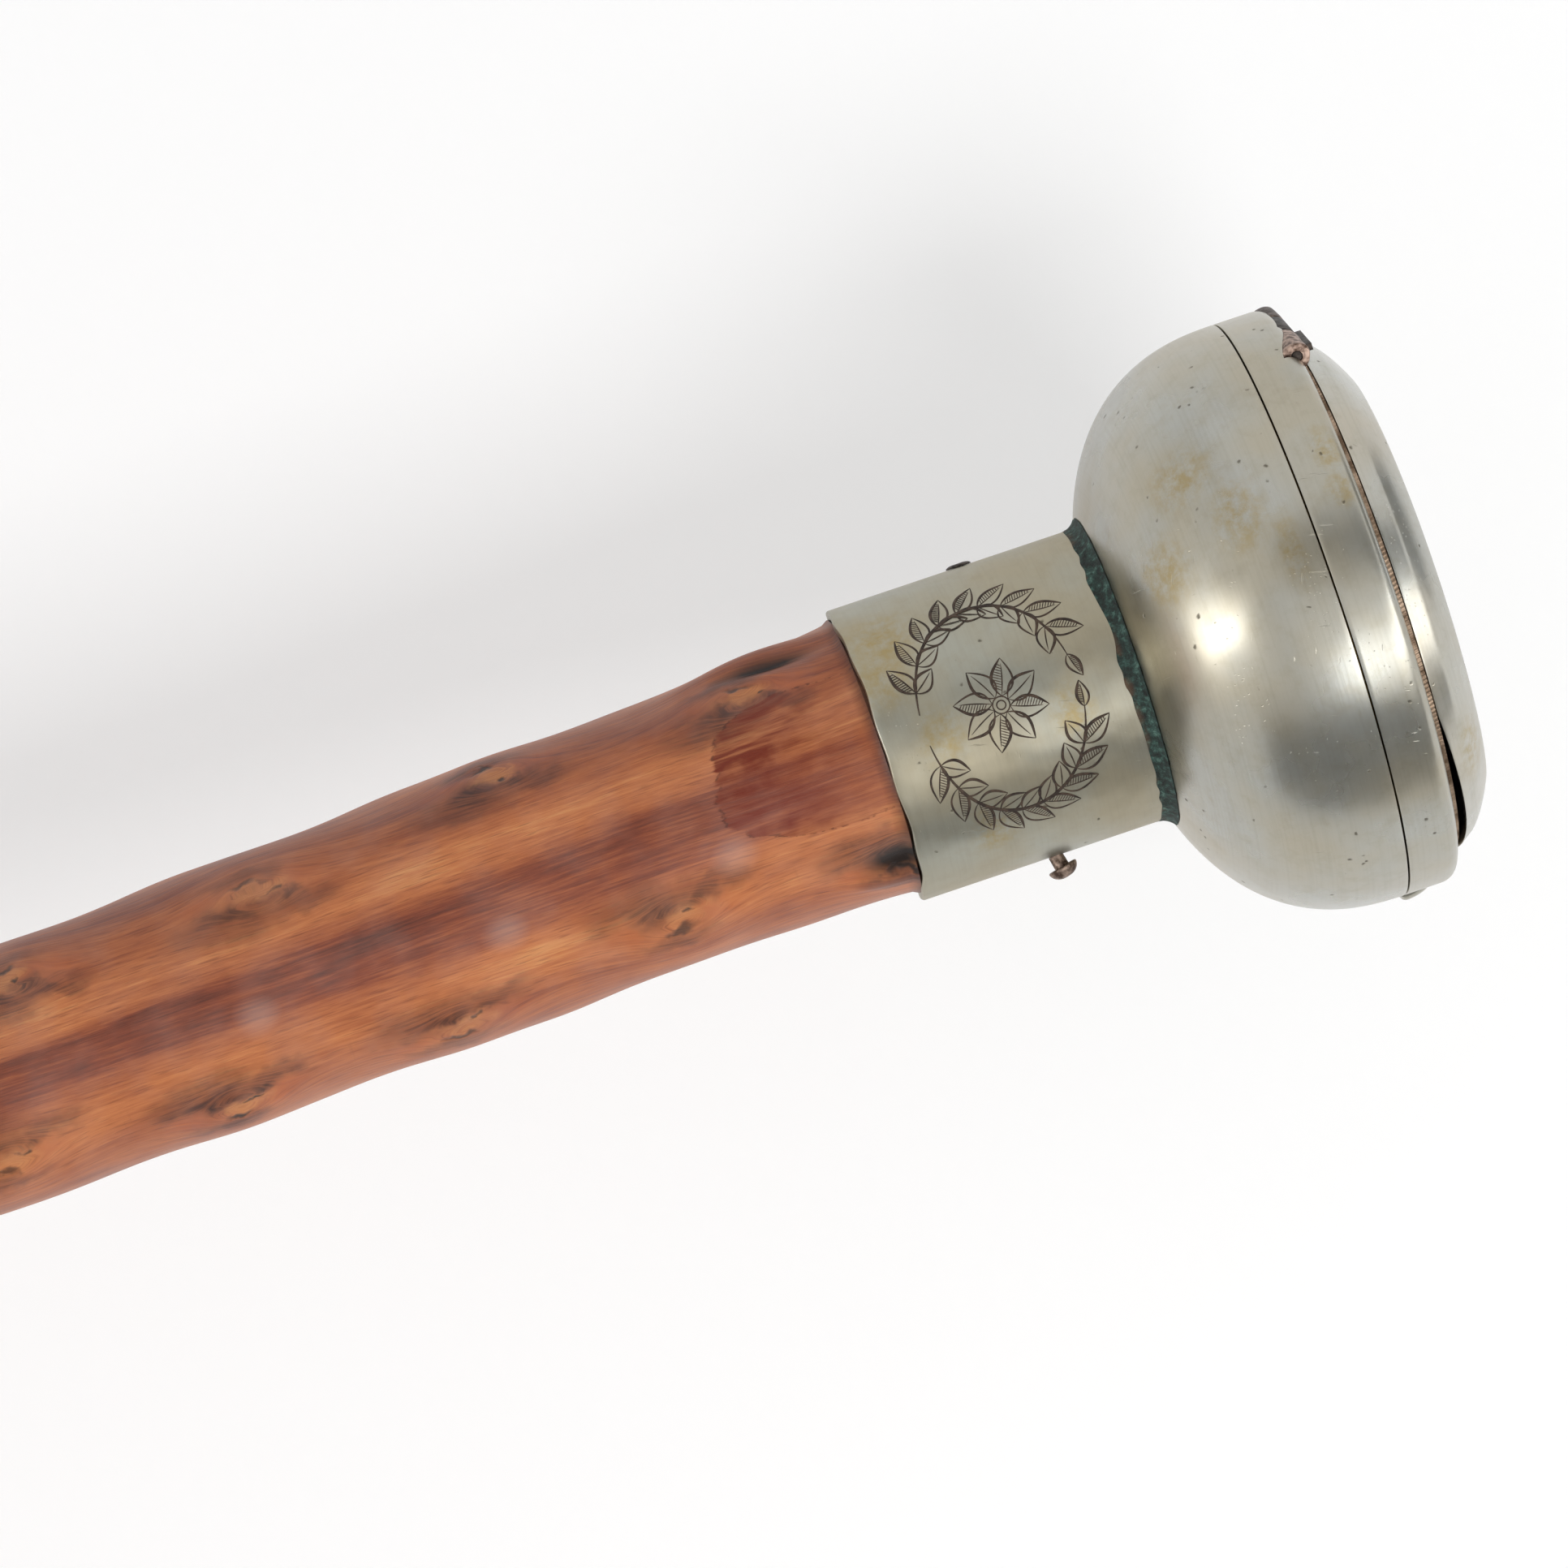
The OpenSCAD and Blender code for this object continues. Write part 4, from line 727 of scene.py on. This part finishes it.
def laurel_strokes():
    """A leaf wreath round a rosette, as strokes of (across, up, half width) points in millimetres."""
    strokes = []

    def stroke(points, thick, thin=0.25):
        last = len(points) - 1
        swell = [math.sin(math.pi * (i / last)) ** 0.7 for i in range(len(points))]
        strokes.append([(x, y, thick * (thin + (1 - thin) * full)) for (x, y), full in zip(points, swell)])

    def leaf(x, y, way, length, width, hatched):
        def at(u, v):
            c, s = math.cos(way), math.sin(way)
            droop = 0.12 * length * u * u
            return x + u * length * c - (v - droop) * s, y + u * length * s + (v - droop) * c

        for side in (-1, 1):
            stroke([at(i / 14, side * width * math.sin(math.pi * (i / 14) ** 0.8)) for i in range(15)],
                   0.13 if side < 0 else 0.09)
        stroke([at(i / 8 * 0.85, 0) for i in range(9)], 0.06)
        if hatched:
            for i in range(2, 12):
                u = i / 14
                edge = -width * math.sin(math.pi * u ** 0.8)
                stroke([at(u + 0.05 * t, edge * t * 0.92) for t in (0.08, 0.5, 1.0)], 0.045, 0.6)

    def branch(side):
        path = []
        for i in range(41):
            t = math.radians(-82 + 158 * i / 40)
            path.append((side * 9.4 * math.cos(t), WREATH_MID + 6.7 * math.sin(t)))
        stroke(path, 0.16)
        for i in range(3, 39, 4):
            (x, y), (nx, ny) = path[i], path[i + 1]
            way = math.atan2(ny - y, nx - x)
            for out in (-1, 1):
                leaf(x, y, way + out * math.radians(40), 3.2 if out * side < 0 else 2.5, 0.74, out * side < 0)
        (x, y), (nx, ny) = path[-2], path[-1]
        leaf(nx, ny, math.atan2(ny - y, nx - x), 2.2, 0.5, True)

    for side in (-1, 1):
        branch(side)
    for i in range(8):
        turn = math.radians(22.5 + 45 * i)
        leaf(0.75 * math.cos(turn), WREATH_MID + 0.75 * math.sin(turn), turn, 3.2, 0.9, i % 2 == 0)
    for ring in (0.38, 0.72):
        turns = [math.radians(t) for t in range(0, 361, 20)]
        stroke([(ring * math.cos(t), WREATH_MID + ring * math.sin(t)) for t in turns], 0.06, 1.0)
    return strokes


def engraving():
    """The wreath, laid on the collar as thin dark cuts."""
    curve = bpy.data.curves.new("cuts", "CURVE")
    curve.dimensions = "3D"
    curve.bevel_depth = 1.0
    curve.bevel_resolution = 1
    curve.use_fill_caps = True
    for points in laurel_strokes():
        spline = curve.splines.new("POLY")
        spline.points.add(len(points) - 1)
        for target, (x, y, half) in zip(spline.points, points):
            target.co = (x, y, 0, 1)
            target.radius = half
    mesh = evaluated(placed("cuts", curve))
    for v in mesh.vertices:
        x, y, z = v.co
        # Seen from outside, across runs against the stick's turning, so that the wreath isn't mirrored
        v.co = polar(12.655 + 0.22 * z, FRONT - 3 - math.degrees(x / COLLAR_R), y + HEAD) * MM
    mesh.flip_normals()
    keep_mesh("collar_wreath_cuts", mesh, GRAVED, "stick", (), smooth=180)


engraving()

# The knob: bowl, band, glass and lip


BOWL_DEEP, BOWL_FOOT_R, BOWL_WALL = 16.0, 13.4, 0.8


def bowl_radius(z, wall=0.0):
    """The bowl's radius at a height: a rounder curve than an ellipse, which opens up to the rim."""
    power = 2.4
    deep = BOWL_DEEP / (1 - (BOWL_FOOT_R / KNOB_R) ** power) ** (1 / power)
    return (KNOB_R - wall) * max(0.0, 1 - ((BOWL_RIM - z) / (deep - wall)) ** power) ** (1 / power)


outer = [(bowl_radius(z), z) for z in (COLLAR_TOP + BOWL_DEEP * (i / 48) ** 1.5 for i in range(49))]
depths = [(BOWL_DEEP - BOWL_WALL) * (i / 12) ** 0.7 for i in range(12)]
inner = [(min(SNAP_R, bowl_radius(BOWL_RIM - deep, BOWL_WALL)), BOWL_RIM - deep) for deep in depths]
bowl = turned(lifted([(0, COLLAR_TOP)] + outer + inner + [(0, COLLAR_TOP + BOWL_WALL)]), 320, closed=False)
soften(bowl, 0.10, 2, 50)
for angle, height, reach, depth in ((-120.5, 31.3, 1.5, 0.16), (-123, 32.6, 0.9, 0.10),
                                    (-115, 29.5, 3.4, 0.05), (-142, 31, 3.0, 0.07), (-56, 32, 2.4, 0.06),
                                    (-85, 28, 3.5, 0.05), (40, 31, 2.5, 0.15), (120, 33, 2.8, 0.12),
                                    (180, 29, 3.0, 0.08)):
    dent(bowl, on_face(angle, height, bowl_radius(height)), reach, depth)
keep("knob_bowl", bowl, BOWL_METAL, "stick", ["bowl"])

HINGE = Vector((HINGE_X, 0.0, HEAD + HINGE_UP))  # middle of the hinge
LID_SHIFT = Vector((0.4, 0.0, 0.0))  # the lid and the bead sit off the stick's axis


def cut_away(bm, name, *cutters):
    """The bmesh with the cutters taken out of it."""
    body = placed(name, as_mesh(name, bm))
    tools = [placed("cutter", as_mesh("cutter", cutter)) for cutter in cutters]
    for tool in tools:
        step = body.modifiers.new("cut", "BOOLEAN")
        step.operation = "DIFFERENCE"
        step.solver = "EXACT"
        step.object = tool
    made = evaluated(body)
    for tool in tools:
        bpy.data.objects.remove(tool)
    return sewn(as_bmesh(made))


def along_hinge(radius, length, middle=0.0):
    """A rod on the hinge's axis."""
    ends = [HINGE + Vector((0, middle + half, 0)) for half in (-length / 2, length / 2)]
    return rod(radius, *ends, 40)


LEDGE_R, LEDGE_FOOT = 19.8, 40.62  # the ledge under the glass
foot, shoulder = (KNOB_R, BAND_FOOT), (KNOB_R, 41.42)
line = [foot] + spaced(foot, shoulder, 8)[:-1] + bend(shoulder, (KNOB_R, BAND_TOP), (23.0, BAND_TOP), 12)
line += [(SEAT_R, BAND_TOP), (SEAT_R, SEAT), (LEDGE_R, SEAT), (LEDGE_R, LEDGE_FOOT), (SNAP_R, LEDGE_FOOT),
         (SNAP_R, BAND_FOOT)]
band = turned(lifted(line), 320)
soften(band, 0.09, 2, 50)
band = cut_away(band, "knob_band", along_hinge(KNUCKLE_R + 0.04, HINGE_LONG + 1),
                along_hinge(1.5, LID_KNUCKLE_LONG + 0.2))
for angle, height, reach, depth in ((-134, 41.2, 0.9, 0.05), (-60, 40.5, 2.0, 0.05), (70, 40.5, 2.2, 0.08)):
    dent(band, on_face(angle, height, KNOB_R), reach, depth)
keep("knob_band", band, BAND_METAL, "band", ["bezel"])

LIP_R, LIP_FOOT, LIP_TOP, LIP_ARC = 24.98, 38.34, 41.4, 18.4
edge = bend((25.55, LIP_FOOT), (25.92, 38.5), (25.9, 39.0), 4)
edge += bend((25.9, 39.0), (25.8, 40.6), (25.0, LIP_TOP), 6)
lip = turned(lifted([(LIP_R, LIP_FOOT)] + edge + [(LIP_R, LIP_TOP)]), 36, angle=LIP_ARC)
turn_by(lip, -LIP_ARC / 2)
bmesh.ops.holes_fill(lip, edges=[e for e in lip.edges if e.is_boundary])
for v in lip.verts:
    r, a = v.co.xy.length, math.degrees(math.atan2(v.co.y, v.co.x))
    share = max(0.0, 1 - (a / 9.25) ** 8) ** 0.5
    rise = (v.co.z - HEAD - LIP_FOOT) * (0.35 + 0.65 * share)
    v.co = polar(LIP_R + (r - LIP_R) * (0.1 + 0.9 * share), a, HEAD + LIP_FOOT + rise)
bmesh.ops.recalc_face_normals(lip, faces=lip.faces)
keep("knob_thumb_lip", lip, BAND_METAL, "band", ["thumb_lip"], smooth=50)

dome = [(20.0 * i / 16, 1.1 * (1 - (i / 16) ** 2)) for i in range(17)]
GLASS_R, GLASS_EDGE = 20.8, 42.32
line = [(r, SEAT + h) for r, h in dome] + [(GLASS_R, SEAT), (GLASS_R, 42.1), (20.6, GLASS_EDGE)]
glass = turned(lifted(line + [(r, GLASS_EDGE + h) for r, h in reversed(dome)]), 192, closed=False)
keep("watch_crystal", glass, GLASS, "band", ["crystal"], smooth=60)

# The hinge

knuckles = []
for middle in (-KNUCKLE_MID, KNUCKLE_MID):
    barrel = along_hinge(KNUCKLE_R, KNUCKLE_LONG, middle)
    long_edges = [e for e in barrel.edges if abs(e.verts[0].co.y - e.verts[1].co.y) > 1]
    bmesh.ops.subdivide_edges(barrel, edges=long_edges, cuts=6)
    soften(barrel, 0.14, 3, 50)
    knuckles.append(cut_away(barrel, "knuckle", along_hinge(KNUCKLE_BORE, 6.0, middle)))
outer_knuckles = joined(*knuckles)
# Hammered unevenly, and the far one worn down towards its end
for v in outer_knuckles.verts:
    ring = (v.co - HINGE) * Vector((1, 0, 1))
    if ring.length > 0.8:
        way = ring.normalized()
        v.co += way * 0.05 * math.sin(9 * v.co.y) * math.sin(3 * math.atan2(ring.z, ring.x) + v.co.y)
        v.co -= way * 0.45 * max(0.0, (v.co.y - 5.4) / 2.6) ** 2
keep("hinge_outer_knuckles", outer_knuckles, HINGE_COPPER, "band", ["bezel_knuckles"], smooth=50)
pin = along_hinge(0.45, HINGE_LONG)
soften(pin, 0.1, 2, 50)
keep("hinge_pin_iron", pin, IRON, "band", ["hinge_pin"])

leaf_bend = LID_R + 0.04
leaf_cutter = turned(lifted([(0, 30), (leaf_bend, 30), (leaf_bend, 60), (0, 60)]), 192, closed=False)
shift(leaf_cutter, LID_SHIFT)
leaf_plate = bmesh.new()
bmesh.ops.create_cube(leaf_plate, size=1.0)
LEAF_HIGH = 2.11
bmesh.ops.scale(leaf_plate, vec=(1.0, LID_KNUCKLE_LONG, LEAF_HIGH), verts=leaf_plate.verts)
shift(leaf_plate, (-21.9, 0, HEAD + HINGE_UP + LEAF_HIGH / 2))
bmesh.ops.subdivide_edges(leaf_plate, edges=leaf_plate.edges[:], cuts=4, use_grid_fill=True)
leaf_plate = cut_away(leaf_plate, "leaf", leaf_cutter)
lid_barrel = soften(along_hinge(KNUCKLE_R, LID_KNUCKLE_LONG), 0.12, 2, 50)
lid_barrel = cut_away(lid_barrel, "lid_barrel", along_hinge(0.5, 6.0))
lid_knuckle = joined(lid_barrel, sewn(soften(leaf_plate, 0.08, 2, 50)))
keep("hinge_lid_knuckle", lid_knuckle, IRON, "cover", ["lid_knuckle"], smooth=50)

# The lid, and the milled bead it closes on

LID_FOOT, LID_HIGH, LID_CORNER, LID_WALL = 43.58, 3.8, 4.2, 0.7
NAIL = math.radians(-46)  # angle of the shallow thumbnail notch in the lid's edge
NAIL_DEEP, NAIL_SWEEP, NAIL_HIGH = 0.6, 101.1, 1.6  # its depth, its sweep's radius, and how far up it shows


def lid_line(wall):
    """The lid's outline from its edge to its middle, set in by a wall."""
    top, rim, draft = LID_HIGH - wall, LID_R - wall, LID_CORNER * 0.22
    knee, corner = (rim - draft, LID_FOOT + top * 0.42), (rim - 2 * draft, LID_FOOT + top * 0.7)
    face = (rim - LID_CORNER, LID_FOOT + top)
    line = [(rim, LID_FOOT)] + spaced((rim, LID_FOOT), knee, 6) + bend(knee, corner, face, 14)[1:]
    return line + [(face[0] * (1 - i / 16), face[1] + 0.8 * (1 - (1 - i / 16) ** 2)) for i in range(1, 17)]


cover = turned(lifted(list(reversed(lid_line(0.0))) + lid_line(LID_WALL)), 320, closed=False)
soften(cover, 0.10, 2, 60)
for v in cover.verts:
    out = v.co.x * math.cos(NAIL) + v.co.y * math.sin(NAIL)
    aside = v.co.y * math.cos(NAIL) - v.co.x * math.sin(NAIL)
    if out > 0:
        near_edge = max(0.0, 1 - (v.co.z - HEAD - LID_FOOT) / NAIL_HIGH)
        v.co.z += max(0.0, NAIL_DEEP - aside ** 2 / (2 * NAIL_SWEEP)) * near_edge
for angle, height, radius, reach, depth in ((-80, 47.7, 12, 5.0, 0.10), (60, 47.9, 8, 4.0, 0.12),
                                            (170, 47.6, 15, 3.5, 0.10), (-110, 45.5, 21.4, 2.2, 0.05)):
    dent(cover, on_face(angle, height, radius), reach, depth)
shift(cover, LID_SHIFT)
keep("knob_lid", cover, LID_METAL, "cover", ["lid"])

BEAD_R, BEAD_BORE, BEAD_TOP = 22.15, 21.25, 43.52
foot = (BEAD_R, BAND_TOP)
line = [foot] + spaced(foot, (BEAD_R, BEAD_TOP), 3) + [(BEAD_BORE, BEAD_TOP), (BEAD_BORE, BAND_TOP)]
bead = turned(lifted(line), 1440)
for v in bead.verts:
    if v.co.xy.length > 22:
        a = math.atan2(v.co.y, v.co.x)
        v.co -= polar(0.05 + 0.05 * math.cos(360 * a + 5 * (v.co.z - HEAD)), math.degrees(a), 0)
shift(bead, LID_SHIFT)
keep("band_milled_bead", bead, MILLED, "band", ["milled_bead"], smooth=70)

# The watch: CAD pieces take their metals, and the dial gets its printing

for finish, names in (
        (BRASS, ("case_ring", "main_plate", "top_plate", "plate_pillars", "mainspring_barrel", "minute_wheel",
                 "hour_wheel", "balance_wheel", "balance_cock")),
        (STEEL, ("plate_screws", "case_screws", "winding_arbor", "centre_arbor", "cannon_pinion",
                 "minute_stud", "balance_staff")),
        (BLUED, ("hour_hand", "minute_hand")), (ENAMEL, ("dial",)), (COPPER, ("dial_feet",))):
    for name in names:
        nodes[name].data.materials.clear()
        nodes[name].data.materials.append(finish)

DIAL = HEAD + 39.3  # height of the dial's face
TWELVE = 180.0  # angle of the hour twelve
PRINT = 0.03  # thickness of the dial's paint
TRACK_IN, TRACK_OUT, TRACK_LINE = 18.0, 19.2, 0.12


def flat_bar(radius_in, radius_out, width, angle):
    """A stroke of paint that points to the dial's middle."""
    bm = bmesh.new()
    bmesh.ops.create_cube(bm, size=1.0)
    bmesh.ops.scale(bm, vec=(radius_out - radius_in, width, PRINT), verts=bm.verts)
    shift(bm, ((radius_in + radius_out) / 2, 0, DIAL + PRINT / 2))
    turn_by(bm, angle)
    return bm


track = [turned([(r, DIAL), (r + TRACK_LINE, DIAL), (r + TRACK_LINE, DIAL + PRINT), (r, DIAL + PRINT)], 180)
         for r in (TRACK_IN, TRACK_OUT)]
track += [flat_bar(TRACK_IN, 19.25, 0.55 if m % 5 == 0 else 0.14, TWELVE - 6 * m) for m in range(60)]
keep("dial_minute_track", joined(*track), INK, "stick", ())


def numerals():
    """Hour numbers, upright towards the twelve."""
    sheets = []
    for hour in range(1, 13):
        words = bpy.data.curves.new("hour", "FONT")
        words.body = str(hour)
        words.size = 3.6
        words.align_x = "CENTER"
        words.align_y = "CENTER"
        words.extrude = PRINT / 2
        bm = as_bmesh(evaluated(placed("hour", words)))
        turn_by(bm, 90)
        shift(bm, polar(15.4, TWELVE - 30 * hour, DIAL + PRINT / 2))
        sheets.append(bm)
    return joined(*sheets)


keep("dial_hour_numbers", numerals(), INK, "stick", ())

# Camera, at the photograph's angle, with the stick rising to the right

azimuth, elevation = math.radians(-16), math.radians(-4)
level = math.cos(elevation)
back = Vector((math.sin(azimuth) * level, -math.cos(azimuth) * level, math.sin(elevation)))
rise = (Vector((0, 0, 1)) - back * back.z).normalized()
across = back.cross(rise)
right = rise * math.cos(PHOTO_LEAN) - across * math.sin(PHOTO_LEAN)
upward = rise * math.sin(PHOTO_LEAN) + across * math.cos(PHOTO_LEAN)
seen = Vector((0, 0, (HEAD - 7.75) * MM)) + across * 0.2 * MM
lens = bpy.data.cameras.new("camera")
lens.sensor_width = 36
lens.lens = 343
lens.clip_start, lens.clip_end = 0.05, 50
CAMERA_AWAY = 1.2386  # metres from the camera to the point it looks at
facing = Matrix((right, upward, back)).transposed().to_4x4()
camera = placed("camera", lens)
camera.matrix_world = Matrix.Translation(seen + back * CAMERA_AWAY) @ facing
bpy.context.scene.camera = camera

# Studio: a white room, a pale floor, a pale sheet close behind the knob, one soft key light, and cards for
# the metal's reflections


def looked_at(node):
    """1 for what the camera sees, straight or in metal and glass, and 0 for what only gives light."""
    ray = node("LightPath").node.outputs
    either = node("Math", {0: ray["Is Camera Ray"], 1: ray["Is Glossy Ray"]}, operation="MAXIMUM")
    return node("Math", {0: either, 1: ray["Is Transmission Ray"]}, operation="MAXIMUM")


bpy.context.scene.view_settings.view_transform = "Standard"
world = bpy.data.worlds.new("white_room")
bpy.context.scene.world = world
world.use_nodes = True
sky = world.node_tree
node = partial(add, sky)
strength = node("MapRange", {"Value": looked_at(node), "To Min": 0.58})
sky.nodes["Background"].inputs["Color"].default_value = linear("#FFFFFF")
sky.links.new(strength, sky.nodes["Background"].inputs["Strength"])


def sheet(name, centre, face, up, wide, high, finish):
    """A flat stage sheet that faces a direction."""
    bm = bmesh.new()
    bmesh.ops.create_grid(bm, x_segments=1, y_segments=1, size=0.5)
    bmesh.ops.scale(bm, vec=(wide, high, 1), verts=bm.verts)
    out = face.normalized()
    flat_up = (up - out * up.dot(out)).normalized()
    turn = Matrix((flat_up.cross(out), flat_up, out)).transposed().to_4x4()
    bmesh.ops.transform(bm, matrix=Matrix.Translation(centre) @ turn, verts=bm.verts)
    made = placed(name, as_mesh(name, bm))
    made.data.materials.append(finish)
    return made


def pale_paper(name, own_light):
    """Matt white paper, with a little light of its own to the camera so that it reads white. It is clear from
    behind."""
    made, node, _ = material(name, Roughness=0.9, Base_Color=linear("#FFFFFF"))
    tree = made.node_tree
    to_eye = node("Math", {0: looked_at(node), 1: own_light}, operation="MULTIPLY")
    glow = node("Emission", {"Strength": 1.0})
    lit = node("MixShader", {0: to_eye, 1: tree.nodes["Principled BSDF"].outputs[0], 2: glow})
    behind = node("NewGeometry", out="Backfacing")
    both = node("MixShader", {0: behind, 1: lit, 2: node("BsdfTransparent")})
    tree.links.new(both, tree.nodes["Material Output"].inputs["Surface"])
    return made


knob = Vector((0, 0, (HEAD + 20) * MM))
sheet("floor", Vector((0, 0, 0)), Vector((0, 0, 1)), Vector((0, 1, 0)), 6, 6, pale_paper("floor_paper", 0.65))
sheet("backdrop", knob - back * 0.045, back, rise, 3.0, 1.6, pale_paper("backdrop_paper", 0.42))


def softbox(name, place, aim, wide, high, power):
    """A soft rectangular lamp that the camera doesn't see."""
    lamp = bpy.data.lights.new(name, "AREA")
    lamp.shape = "RECTANGLE"
    lamp.size, lamp.size_y = wide, high
    lamp.energy = power
    made = placed(name, lamp)
    made.matrix_world = Matrix.Translation(place) @ (place - aim).to_track_quat("Z", "Y").to_matrix().to_4x4()
    made.visible_camera = False
    return made


def from_knob(turn, tilt, away):
    """A place at an angle round the stick and a tilt above the knob's level."""
    return knob + polar(math.cos(math.radians(tilt)), turn, math.sin(math.radians(tilt))) * away


key = softbox("key", from_knob(-82, 14, 1.1), knob, 0.38, 0.62, 6.2)
key.visible_glossy = False

# Cards seen only in reflections: bright ones for the highlights, grey flags for the dark bands between them
for name, turn, tilt, away, wide, high, glow in (
        ("shine_low", -112, -63, 0.60, 0.10, 0.42, 7.0), ("shine_key", -81, 38, 0.42, 0.15, 0.60, 3.2),
        ("shine_side", 14, -3, 0.90, 0.80, 0.80, 2.0), ("flag_low", -44, 8, 0.60, 0.50, 1.75, 0.0),
        ("flag_left", -126, 32, 0.90, 0.40, 1.50, 0.0), ("flag_back", 130, 5, 0.90, 0.60, 1.4, 0.0),
        ("flag_side", 57, -12, 0.90, 0.36, 0.6, 0.0), ("flag_top", 145, 78, 0.1155, 0.056, 0.05, 0.0)):
    finish, *_ = material(name, Roughness=0.9, Base_Color=linear("#A3A4A3"), Emission_Color=linear("#FFFFFF"),
                          Emission_Strength=glow)
    place = from_knob(turn, tilt, away)
    card = sheet(name, place, knob - place, Vector((0, 0, 1)), wide, high, finish)
    card.visible_camera = card.visible_diffuse = card.visible_shadow = card.visible_transmission = False
